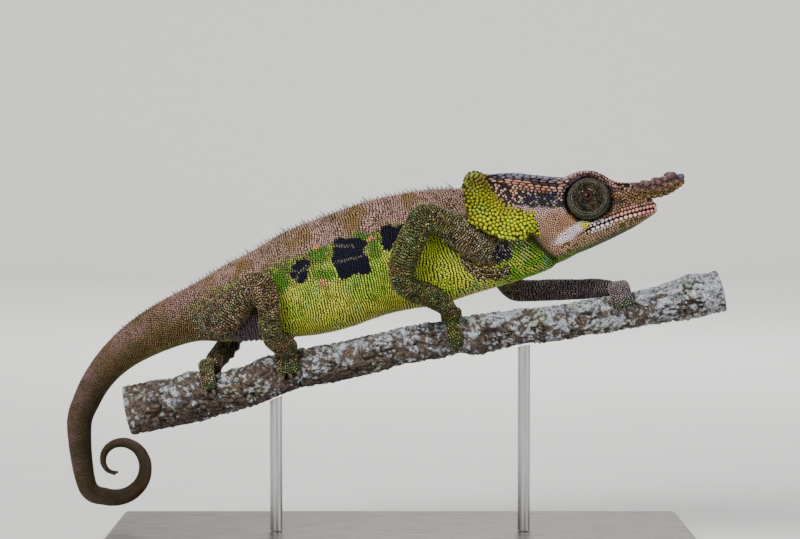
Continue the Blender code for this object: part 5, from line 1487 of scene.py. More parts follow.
def scale_piece(name, roots, pick, sides, lifts, colours, dark):
    """One mesh of scales: each a closed dome of an apex, rings at shares of its reach, and an underside.

    A dome's point is its root, plus the direction times reach times share, plus the normal times height times
    lift. The scales of a laid row keep their height towards each other, so that they run together as a ridge.
    A bake map puts each scale in a patch at its own place along and round the part.
    """
    at, normal, way = roots["at"][pick], roots["normal"][pick], roots["way"][pick]
    reach, height = roots["reach"][pick], roots["height"][pick]
    count = len(pick)
    angle = (np.arange(sides) + (0.5 if sides == 6 else 0.0)) * 2 * math.pi / sides
    grid = np.arange(reach.shape[1] + 1) * 2 * math.pi / reach.shape[1]
    wrapped = np.concatenate([reach, reach[:, :1]], axis=1)
    low = np.minimum(np.searchsorted(grid, angle, side="right") - 1, reach.shape[1] - 1)
    share = (angle - grid[low]) / (grid[1] - grid[0])
    reach = wrapped[:, low] * (1 - share) + wrapped[:, low + 1] * share
    across = np.cross(normal, way)
    angle = angle[None, :, None]
    long = roots["long"][pick][:, None, None]
    direction = np.cos(angle) * long * way[:, None] + np.sin(angle) * across[:, None]
    joined = roots["ridge"][pick][:, None] * np.sin(angle[..., 0]) ** 2
    layers = [(at + normal * height[:, None])[:, None]]
    for share, lift in lifts:
        rise = height[:, None] * (lift + (0.85 - lift) * 0.8 * joined * share)
        out = direction * (reach * share)[..., None]
        layers.append(at[:, None] + out + rise[..., None] * normal[:, None])
    points = np.concatenate(layers, axis=1)
    size_of = points.shape[1]
    edge = np.arange(sides)
    ahead = (edge + 1) % sides
    fan = np.stack([np.zeros(sides, int), 1 + edge, 1 + ahead], axis=1)
    quads = np.vstack([
        np.stack([1 + ring * sides + edge, 1 + (ring + 1) * sides + edge, 1 + (ring + 1) * sides + ahead,
                  1 + ring * sides + ahead], axis=1)
        for ring in range(len(lifts) - 1)
    ])
    under = (1 + (len(lifts) - 1) * sides + edge[::-1])[None]
    offsets = (np.arange(count) * size_of)[:, None, None]
    groups = [(faces[None] + offsets).reshape(-1, faces.shape[1]) for faces in (fan, quads, under)]
    piece = mesh_object(name, points.reshape(-1, 3), *groups)

    # Painted highlight and shade: the apex is lightened, and each ring out to the rim is darker down to the
    # rim shade, partly the dark skin between scales and partly painted shade; a laid row's sides towards its
    # neighbours stay lighter.
    highlit_and_shaded = np.repeat(colours[:, None], size_of, axis=1)
    highlit_and_shaded[:, 0] *= 1.15
    for ring, shade in enumerate(np.linspace(1.0, dark, len(lifts))):
        shades = shade + (1 - shade) * 0.6 * joined
        highlit_and_shaded[:, 1 + ring * sides:1 + (ring + 1) * sides] *= shades[..., None]
    tint(piece, highlit_and_shaded.reshape(-1, 3))

    along, turn = roots["along"][pick], roots["turn"][pick]
    u = (along - along.min()) / max(float(np.ptp(along)), 1e-6) * 0.98 + 0.01
    v = (turn - turn.min()) / max(float(np.ptp(turn)), 1e-6) * 0.98 + 0.01
    patch = np.zeros((count, size_of, 2))
    patch[..., 0], patch[..., 1] = u[:, None], v[:, None]
    for ring, (share, _) in enumerate(lifts):
        part = slice(1 + ring * sides, 1 + (ring + 1) * sides)
        patch[:, part, 0] += 0.0015 * share * np.cos(angle[..., 0])
        patch[:, part, 1] += 0.0015 * share * np.sin(angle[..., 0])
    corners = np.concatenate([group.ravel() for group in groups])
    layer = piece.data.uv_layers.new(name="OFBake")
    layer.uv.foreach_set("vector", patch.reshape(-1, 2)[corners].astype(np.float32).ravel())
    return piece


def add_node(tree, kind, inputs=None, **settings):
    """A shader node with its settings and inputs, each input a value or the socket that feeds it."""
    made = tree.nodes.new(kind)
    for key, value in settings.items():
        setattr(made, key, value)
    for key, value in (inputs or {}).items():
        if isinstance(value, bpy.types.NodeSocket):
            tree.links.new(value, made.inputs[key])
        else:
            made.inputs[key].default_value = value
    return made


def new_material(name, roughness, metallic=0.0, **values):
    """A material with its shader, its tree and its object coordinates."""
    material = bpy.data.materials.new(name)
    material.use_nodes = True
    tree = material.node_tree
    shader = tree.nodes["Principled BSDF"]
    shader.inputs["Roughness"].default_value = roughness
    shader.inputs["Metallic"].default_value = metallic
    for key, value in values.items():
        shader.inputs[key].default_value = value
    where = tree.nodes.new("ShaderNodeTexCoord").outputs["Object"]
    return material, tree, shader, where


def grain_of(tree, where, scale, detail=3.0, stretch=None, roughness=0.55):
    """Noise over the object, in features per metre, perhaps stretched."""
    if stretch:
        where = add_node(tree, "ShaderNodeMapping", {"Vector": where, "Scale": stretch}).outputs["Vector"]
    inputs = {"Vector": where, "Scale": scale, "Detail": detail, "Roughness": roughness}
    return add_node(tree, "ShaderNodeTexNoise", inputs).outputs["Fac"]


def ramp(tree, factor, *stops):
    """A colour or grey for each value of a factor, from stops of place and colour."""
    made = add_node(tree, "ShaderNodeValToRGB", {"Fac": factor})
    elements = made.color_ramp.elements
    while len(elements) < len(stops):
        elements.new(0.5)
    for element, (place, colour) in zip(elements, stops):
        element.position = place
        colour = (colour,) * 3 if np.isscalar(colour) else colour
        element.color = (*colour, 1.0)
    return made.outputs["Color"]


def mixed(tree, factor, first, second, blend_type="MIX"):
    """Two colours mixed by a factor."""
    made = add_node(tree, "ShaderNodeMix", {0: factor}, data_type="RGBA", blend_type=blend_type)
    for socket, value in ((made.inputs[6], first), (made.inputs[7], second)):
        if isinstance(value, bpy.types.NodeSocket):
            tree.links.new(value, socket)
        else:
            socket.default_value = (*value, 1.0)
    return made.outputs[2]


def multiplied(tree, first, second):
    """Two colours multiplied."""
    return mixed(tree, 1.0, first, second, "MULTIPLY")


def finished(tree, shader, colour, roughness=None):
    """Feeds the shader its colour and, where one is given, its roughness."""
    tree.links.new(colour, shader.inputs["Base Color"])
    if roughness:
        tree.links.new(roughness, shader.inputs["Roughness"])


def attribute(tree, name, output="Color"):
    """A colour or number that is stored on the mesh."""
    return add_node(tree, "ShaderNodeAttribute", attribute_name=name).outputs[output]


def bumped(tree, shader, height, distance, strength=1.0):
    """Lets a height from 0 to 1 tilt the shading, as if it were the distance high in metres."""
    made = add_node(tree, "ShaderNodeBump", {"Height": height, "Distance": distance, "Strength": strength})
    tree.links.new(made.outputs["Normal"], shader.inputs["Normal"])


def scaly_material(name, roughness, gloss=0.16, grain=5200.0, depth=0.00004):
    """Scales or skin: the stored colour, mottled by two noises, with a fine grain in gloss and bump."""
    material, tree, shader, where = new_material(name, roughness, **{"Specular IOR Level": gloss})
    fine, broad = grain_of(tree, where, grain, 4.0), grain_of(tree, where, 900.0, 2.0)
    colour = multiplied(tree, attribute(tree, "Tint"), ramp(tree, fine, (0.25, 0.72), (0.75, 1.2)))
    colour = multiplied(tree, colour, ramp(tree, broad, (0.3, 0.86), (0.7, 1.1)))
    finished(tree, shader, colour, ramp(tree, fine, (0.2, roughness - 0.12), (0.8, roughness + 0.14)))
    bumped(tree, shader, fine, depth)
    return material


def dressed(obj, material, slot, *replaced):
    """Gives a piece its material, lets it ride on the model and stand for CAD nodes."""
    obj.data.materials.clear()
    obj.data.materials.append(material)
    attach(obj, "root")
    if replaced:
        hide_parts(*replaced)
    return obj


class CHAMELEON_OT_stage(bpy.types.Operator):
    """Sets up the camera, the soft lights and the pale floor"""

    bl_idname = "chameleon.stage"
    bl_label = "Stage"

    def execute(self, context):
        stage = context.scene.chameleon.stage
        camera = bpy.data.objects.new("camera", bpy.data.cameras.new("camera"))
        camera.data.lens, camera.data.sensor_width = 100.0, 36.0
        camera.data.clip_start, camera.data.clip_end = 0.01, 50.0
        down = stage.elevation
        camera.location = (
            0.0, -stage.distance * math.cos(down), stage.aim + stage.distance * math.sin(down)
        )
        camera.rotation_euler = (math.pi / 2 - down, 0.0, 0.0)
        context.scene.collection.objects.link(camera)
        context.scene.camera = camera

        for name, (place, width) in LIGHTS.items():
            light = bpy.data.objects.new(name, bpy.data.lights.new(name, "AREA"))
            light.data.energy, light.data.size = getattr(stage, name), width
            light.location = place
            target = Vector(BACKDROP_MIDDLE if name == "backdrop" else (0.0, 0.0, stage.aim))
            light.rotation_euler = (target - Vector(place)).to_track_quat("-Z", "Y").to_euler()
            context.scene.collection.objects.link(light)

        world = bpy.data.worlds.new("studio")
        world.use_nodes = True
        background = world.node_tree.nodes["Background"]
        background.inputs["Color"].default_value = (0.93, 0.95, 1.0, 1.0)
        background.inputs["Strength"].default_value = 0.3
        context.scene.world = world

        share = np.linspace(0, 1, 90)[1:]
        rise = np.clip((share - FLOOR_FLAT_SHARE) / (1 - FLOOR_FLAT_SHARE), 0, 1)
        radius, height, turn = FLOOR_RADIUS * share, FLOOR_RISE * rise**2, circle(FLOOR_SIDES)
        level = np.outer(height, np.ones(FLOOR_SIDES))
        rings = np.stack([np.outer(radius, np.cos(turn)), np.outer(radius, np.sin(turn)), level], axis=-1)
        points, quads, fans = closed_grid(rings)
        floor = mesh_object("floor", points[:-1], quads, fans[:FLOOR_SIDES])
        material, tree, shader, where = new_material("floor", 0.7)
        speck = grain_of(tree, where, 60.0, 3.0)
        colour = np.array(stage.floor)
        finished(tree, shader, ramp(tree, speck, (0.3, colour * 0.97), (0.7, colour)))
        floor.data.materials.append(material)
        if floor.data.polygons[0].normal.z < 0:
            floor.data.flip_normals()
        return {"FINISHED"}


class CHAMELEON_OT_stand(bpy.types.Operator):
    """Finishes the base in dark wood and the rods in brushed steel"""

    bl_idname = "chameleon.stand"
    bl_label = "Stand"

    def execute(self, context):
        stage = context.scene.chameleon.stage
        varnish = {"Coat Weight": 0.25, "Coat Roughness": 0.2}
        wood, tree, shader, where = new_material("dark wood", 0.36, **varnish)
        grain = grain_of(tree, where, 90.0, 5.0, (0.25, 2.6, 2.6), 0.6)
        pores = grain_of(tree, where, 1500.0, 2.0, (0.06, 1.0, 1.0), 0.6)
        pale = np.array(stage.wood) * 1.5
        colour = ramp(tree, grain, (0.32, stage.wood_dark), (0.5, stage.wood), (0.7, pale))
        colour = multiplied(tree, colour, ramp(tree, pores, (0.35, 0.55), (0.5, 1.0)))
        finished(tree, shader, colour, ramp(tree, pores, (0.3, 0.5), (0.6, 0.3)))
        bumped(tree, shader, pores, 0.00006)
        steel, tree, shader, where = new_material("brushed steel", 0.3, 1.0)
        lines = grain_of(tree, where, 2600.0, 3.0, (1.0, 1.0, 0.03))
        grey = ramp(tree, lines, (0.3, (0.42, 0.42, 0.43)), (0.7, (0.62, 0.62, 0.62)))
        finished(tree, shader, grey, ramp(tree, lines, (0.3, 0.24), (0.7, 0.42)))
        bumped(tree, shader, lines, 0.00001)
        for name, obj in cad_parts.items():
            if name.startswith("stand_"):
                finish = wood if name == "stand_base" else steel
                for slot in obj.material_slots:
                    slot.material = finish
        return {"FINISHED"}


class CHAMELEON_OT_perch(bpy.types.Operator):
    """Models the branch: fissured bark, knots, crusts of lichen and two sawn ends"""

    bl_idname = "chameleon.perch"
    bl_label = "Branch"

    def execute(self, context):
        stage = context.scene.chameleon.stage
        rows = perch_rows(BRANCH_RINGS)
        _, side, other = tube_frames(rows[:, :3])
        turn = circle(BRANCH_SIDES)
        out = np.cos(turn)[None, :, None] * side[:, None] + np.sin(turn)[None, :, None] * other[:, None]
        base = rows[:, None, :3] + out * rows[:, 3, None, None]
        swell = 0.18 * np.sin(3 * turn[None] + 0.13 * rows[:, 0, None]) + 0.5 * noise(base, 6.0, 86)
        for x, face in KNOTS:
            near = np.exp(-(((rows[:, 0] - x) / 5.0) ** 2))
            swell = swell + 1.3 * near[:, None] * (0.5 + 0.5 * np.cos(turn - face))[None]
        long = base * (0.45, 1.0, 1.0)
        fissure = 1 - np.abs(rough(long, 1.5, 81)) * 2.6
        plates = step(0.6, 0.95, fissure) * step(-0.5, 0.3, noise(base, 5.0, 87))
        crust = 0.7 * rough(base, 6.0, 82) + rough(base, 1.6, 83) + 0.8 * noise(base, 0.6, 88)
        crust = crust + 0.25 * out[..., 2]
        crust = crust + np.interp(base[..., 0], *LICHEN_ALONG)
        lichen = step(-0.05, 0.25, crust) * step(0.98, 0.6, plates)
        grit = noise(base, 0.7, 84)
        depth = -0.8 * plates - 0.7 * np.abs(rough(base, 1.3, 85)) + 0.22 * lichen + 0.3 * grit
        surface = rows[:, None, :3] + out * (rows[:, 3, None] + swell + depth - 0.15)[..., None]
        first, last = (
            [ring.mean(0) + (ring - ring.mean(0)) * share for share in END_SHARES]
            for ring in surface[[0, -1]]
        )
        rings = np.concatenate([first, surface, last[::-1]])
        points, quads, fans = closed_grid(rings)
        perch = outward(mesh_object("branch", points, quads, fans))
        none, sawn = np.zeros(len(END_SHARES)), np.ones(len(END_SHARES))
        for name, bark_value, end_value, pole in (
            ("Cut", np.zeros(lichen.shape), sawn, 1.0), ("Lichen", lichen, none, 0.0),
            ("Fissure", plates, none, 0.0), ("Ring", np.ones(lichen.shape), END_SHARES, 0.0),
        ):
            end = np.repeat(end_value, BRANCH_SIDES)
            backwards = np.repeat(end_value[::-1], BRANCH_SIDES)
            weigh(perch, np.concatenate([end, bark_value.ravel(), backwards, [pole, pole]]), name)

        bark, tree, shader, where = new_material("bark", 0.85)
        fine, broad = grain_of(tree, where, 2600.0, 5.0), grain_of(tree, where, 140.0, 3.0)
        brown = np.array(stage.bark)
        colour = ramp(tree, fine, (0.34, brown * 0.25), (0.5, brown), (0.66, brown * 1.9))
        colour = mixed(tree, ramp(tree, broad, (0.42, 0.0), (0.62, 0.7)), colour, brown * (0.75, 0.6, 0.5))
        greener = ramp(tree, broad, (0.5, 0.0), (0.66, 0.8))
        crust_colour = mixed(tree, greener, stage.lichen, stage.lichen_green)
        crust_colour = multiplied(tree, crust_colour, ramp(tree, fine, (0.38, 0.22), (0.56, 1.0)))
        colour = mixed(tree, attribute(tree, "Lichen", "Fac"), colour, crust_colour)
        colour = mixed(tree, attribute(tree, "Fissure", "Fac"), colour, stage.bark_dark)
        flakes = grain_of(tree, where, 750.0, 4.0, None, 0.7)
        colour = multiplied(tree, colour, ramp(tree, flakes, (0.38, 0.3), (0.5, 1.0), (0.62, 1.3)))
        rings_in = attribute(tree, "Ring", "Fac")
        waves = add_node(tree, "ShaderNodeMath", {0: rings_in, 1: 55.0}, operation="MULTIPLY")
        waves = add_node(tree, "ShaderNodeMath", {0: waves.outputs[0]}, operation="SINE").outputs[0]
        wood = np.array(stage.heartwood)
        end = ramp(tree, waves, (0.0, wood * 0.62), (0.8, wood))
        colour = mixed(tree, attribute(tree, "Cut", "Fac"), colour, end)
        finished(tree, shader, colour, ramp(tree, fine, (0.3, 0.95), (0.7, 0.72)))
        bumped(tree, shader, fine, 0.0005)
        dressed(perch, bark, "bark", "perch")
        return {"FINISHED"}


class CHAMELEON_OT_skin(bpy.types.Operator):
    """Fuses body, head, lobes, limbs and toes into one skin with folds and markings"""

    bl_idname = "chameleon.skin"
    bl_label = "Skin"

    def execute(self, context):
        settings = context.scene.chameleon
        skin = fused_skin(lengths(context), settings.sizes.skin_faces)
        points, _, _ = mesh_arrays(skin.data)
        inks = palette(settings.colours)
        draw = 0.5 + 0.5 * noise(points, 0.7, 91)
        colours = markings(points, parts_of(points), draw, inks)
        tint(skin, colours * 0.12 * (1 - SKIN_SHADE) + inks.groove * SKIN_SHADE)
        flesh = [
            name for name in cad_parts
            if not name.startswith("stand_") and name != "perch"
            and not name.endswith(("eye_turret", "eyeball", "snout_horn"))
        ]
        dressed(skin, scaly_material("skin", 0.7, 0.1), "trunk", *flesh)
        return {"FINISHED"}


class CHAMELEON_OT_scales(bpy.types.Operator):
    """Covers the skin with scales: rows on the body, plates and granules on the head, beads on the lobes"""

    bl_idname = "chameleon.scales"
    bl_label = "Scales"

    def execute(self, context):
        settings = context.scene.chameleon
        sizes, inks = lengths(context), palette(settings.colours)
        skin = bpy.data.objects["skin"]
        roots = scale_roots(skin, sizes)
        count = len(roots["at"])
        draws = np.random.default_rng(17)
        draw = draws.random(count)
        keep = np.ones(count, bool)
        for side in (-1, 1):
            place, way, _, _ = eye_frame(side)
            offset = roots["at"] - place
            high = offset @ way
            radial = np.linalg.norm(offset - high[:, None] * way, axis=1)
            keep &= ~((radial < TURRET_RADIUS + 0.1) & (high > -4))
            hole = (NOSTRIL[0], side * float(head_side([NOSTRIL[0]], [NOSTRIL[1]])[0]), NOSTRIL[1])
            keep &= np.linalg.norm(roots["at"] - hole, axis=1) > 0.75
        reach = cell_reach(roots, 16)
        mean = reach.mean(1)
        owner, along = roots["owner"], roots["along"]
        rounded = ROUNDING[owner] * (roots["long"] == 1)
        reach = np.minimum(reach, (mean * 1.5)[:, None])
        roots["reach"] = reach + (mean[:, None] - reach) * rounded[:, None]
        roots["height"] = mean * SCALE_HEIGHT[owner] * (0.85 + 0.3 * draws.random(count))
        colours = markings(roots["at"], roots, draw, inks)
        colours = colours * (1 + CONTRAST[owner] * (draws.random(count) - 0.5))[:, None]
        ends = (-math.inf, *TRUNK_PARTS, VENT, VENT + COIL_START, math.inf)
        places = [("trunk_scales_front", "trunk"), ("trunk_scales_middle", "trunk"),
                  ("trunk_scales_rear", "trunk"), ("tail_scales", "tail"), ("coil_scales", "tail")]
        groups = [(name, slot, (owner == 0) & (along >= start) & (along < end))
                  for (name, slot), start, end in zip(places, ends, ends[1:])]
        groups += [("head_scales", "head", owner == 1), ("lobe_scales", "lobe", (owner == 2) | (owner == 3))]
        groups += [(name + "_scales", "limb", owner == number) for number, name in enumerate(LIMBS, start=4)]
        for name, slot, mask in groups:
            pick = np.flatnonzero(mask & keep)
            sides, roughness, dark, lifts = SCALE_LOOKS[slot]
            piece = scale_piece(name, roots, pick, sides, lifts, colours[pick], dark)
            key = "scales " + slot
            dressed(piece, bpy.data.materials.get(key) or scaly_material(key, roughness), slot)
        return {"FINISHED"}


class CHAMELEON_OT_crest(bpy.types.Operator):
    """Sets the row of spines along the back, every fifth one tall"""

    bl_idname = "chameleon.crest"
    bl_label = "Crest"

    def execute(self, context):
        settings = context.scene.chameleon
        sizes, inks = lengths(context), palette(settings.colours)
        rows, along, left, dorsal = BODY
        back = rows[:, :3] + dorsal * rows[:, 3:4] * (1 + RIDGE_HEIGHT)
        first, last = (int(np.argmax(back[:, 0] < x)) for x in (CREST_START_X, CREST_END_X))
        length = distances(back)
        places = np.arange(length[first], length[last], sizes.crest_step)
        at = np.searchsorted(length, places)
        draws = np.random.default_rng(31)
        many = len(at)
        fade = np.minimum(1.0, 0.3 + (back[at, 0] - CREST_END_X) / 60.0) * (0.85 + 0.3 * draws.random(many))
        tall = np.where(np.arange(many) % CREST_TALL_EVERY == 0, sizes.crest_tall, sizes.crest_short) * fade
        share = np.linspace(0, 1, 7)[None, :, None]
        lean = 0.5 + 0.3 * draws.random(many)
        sway = 0.2 * (draws.random(many) - 0.5)
        root = back[at] - dorsal[at] * CREST_SUNK
        rise = tall + CREST_SUNK
        path = (
            root[:, None] + dorsal[at][:, None] * share * rise[:, None, None]
            + along[at][:, None] * (tall * lean)[:, None, None] * share**1.7
            + left[at][:, None] * sway[:, None, None] * share
        )
        stout = CREST_ROOT_RADIUS * (0.65 + 0.35 * tall / sizes.crest_tall)
        thick = stout[:, None] * (1 - share[..., 0]) ** 0.9 + 0.04
        turn = (np.arange(8) * 2 * math.pi / 8)[None, None, :, None]
        spread_out = np.cos(turn) * along[at][:, None, None] + np.sin(turn) * left[at][:, None, None] * 0.8
        rings = path[:, :, None] + thick[:, :, None, None] * spread_out
        crest = outward(joined("crest", rings))
        pale = inks.slate * 0.9 + inks.cream * 0.45 + inks.teal * 0.15
        tone = chosen([pale, pale * 1.2, pale * 0.8, inks.teal * 0.3 + pale * 0.6], draws.random(many))
        shade = np.concatenate([np.repeat(0.45 + 0.65 * share[0, :, 0], 8), [0.4, 1.1]])
        tint(crest, (tone[:, None] * shade[None, :, None]).reshape(-1, 3))
        dressed(crest, scaly_material("crest", 0.42), "trunk")
        return {"FINISHED"}


def ball_rings(centre, radii, ways, rings=12, sides=16):
    """Rings of an oval ball: cosine and sine of the latitude times three radii along three ways."""
    latitude = np.linspace(-0.5, 0.5, rings + 2)[1:-1] * math.pi
    turn = circle(sides)
    a = np.outer(np.cos(latitude), np.cos(turn)) * radii[0]
    b = np.outer(np.cos(latitude), np.sin(turn)) * radii[1]
    c = np.outer(np.sin(latitude), np.ones(sides)) * radii[2]
    return centre + a[..., None] * ways[0] + b[..., None] * ways[1] + c[..., None] * ways[2]


class CHAMELEON_OT_horns(bpy.types.Operator):
    """Builds the two snout horns with their bulging tubercles"""

    bl_idname = "chameleon.horns"
    bl_label = "Snout horns"

    def execute(self, context):
        inks = palette(context.scene.chameleon.colours)
        material = scaly_material("snout horn", 0.4, 0.14, 3800.0, 0.00006)
        for name, side in (("right", -1), ("left", 1)):
            rows = spline(SNOUT_HORN, 60)
            path = rows[:, :3] * (1, side, 1)
            ways = unit(np.gradient(path, axis=0))
            across = unit(np.cross(ways, (0.0, 0.0, 1.0)))
            up = np.cross(across, ways)
            turn = circle(40)[None, :, None]
            core = (
                path[:, None] + np.cos(turn) * across[:, None] * rows[:, 4, None, None]
                + np.sin(turn) * up[:, None] * rows[:, 3, None, None]
            )
            shells, balls = [core], []
            colours = [np.tile(inks.groove * 1.5, (len(closed_grid(core)[0]), 1))]
            for tubercles, tone, faces in (
                (HORN_TOP, inks.horn, (0,)), (HORN_MIDDLE, inks.horn * 0.6 + inks.gold * 0.35, (-1, 1)),
                (HORN_LOWER, inks.gold, (-1, 1)), ([HORN_TIP], inks.slate * 0.8, (0,)),
            ):
                for x, z, radius in tubercles:
                    at = int(np.abs(path[:, 0] - x).argmin())
                    high = np.clip((z - path[at, 2]) / rows[at, 3], -0.95, 0.95)
                    for face in faces:
                        width = math.sqrt(1 - high**2) * rows[at, 4] * 0.8
                        centre = np.array([x, path[at, 1], z]) + across[at] * face * width
                        thin = max(radius * 0.62, rows[at, 4] + 0.25) if face == 0 else radius * 0.62
                        flat = (radius, thin, radius * 0.93)
                        ball = ball_rings(centre, flat, (ways[at], across[at], up[at]), 14, 20)
                        ball = ball + 0.07 * noise(ball, 0.5, 95)[..., None] * unit(ball - centre)
                        shells.append(ball)
                        points = closed_grid(ball)[0]
                        out = unit(points - centre)
                        # Painted light and shade: a tubercle is lit where it faces sideways, and on the top
                        # row also where it faces up, and nearly black where it turns in towards its
                        # neighbours.
                        facing = np.abs(out @ across[at]) + 0.6 * (face == 0) * (out @ up[at])
                        lit = 0.05 + 1.2 * step(0.15, 1.0, facing) * (0.8 + 0.5 * noise(points, 0.7, 96))
                        shade = 0.85 + 0.3 * ((x * 3.7 + z * 1.9) % 1)
                        colours.append(tone * shade * lit[:, None])
                        balls.append((*centre, radius))
            horn = outward(joined(name + "_horn", shells))
            tint(horn, np.vstack(colours))
            dressed(horn, material, "head", name + "_snout_horn")
            self.granules(name, core, path, ways, np.array(balls), inks)
        return {"FINISHED"}

    def granules(self, name, core, path, ways, balls, inks):
        """Small granules on the horn's core, wherever no tubercle covers it."""
        sides = core.shape[1]
        middle = path[:, None]
        normal = unit(core - middle).reshape(-1, 3)
        at = core.reshape(-1, 3)
        from_balls = np.linalg.norm(at[:, None] - balls[:, :3], axis=2)
        free = (from_balls > balls[:, 3] * 0.85).all(1) & (at[:, 0] < GRANULES_END_X)
        order = np.random.default_rng(61).permutation(np.flatnonzero(free))
        picked = order[spread(at[order], normal[order], np.full(len(order), GRANULE_SPACE), 0)]
        ring, normal = picked // sides, normal[picked]
        way = unit(ways[ring] - normal * dot(ways[ring], normal)[:, None])
        roots = plain_roots(at[picked], normal, way, ring + 0.0, picked % sides + 0.0, GRANULE_WIDTH, 0.04)
        roots["reach"] = cell_reach(roots, GRANULE_SIDES)
        roots["height"] = roots["reach"].mean(1) * 0.8
        high = roots["at"][:, 2] - path[ring, 2]
        tone = blend(np.tile(inks.gold * 0.8, (len(picked), 1)), inks.horn * 0.8, step(-0.8, 0.8, high))
        tone = tone * (0.7 + 0.5 * np.random.default_rng(62).random((len(picked), 1)))
        lifts = [(0.72, 0.72), (1.0, -0.1)]
        every = np.arange(len(picked))
        piece = scale_piece(name + "_horn_granules", roots, every, GRANULE_SIDES, lifts, tone, 0.4)
        dressed(piece, bpy.data.materials["snout horn"], "head")


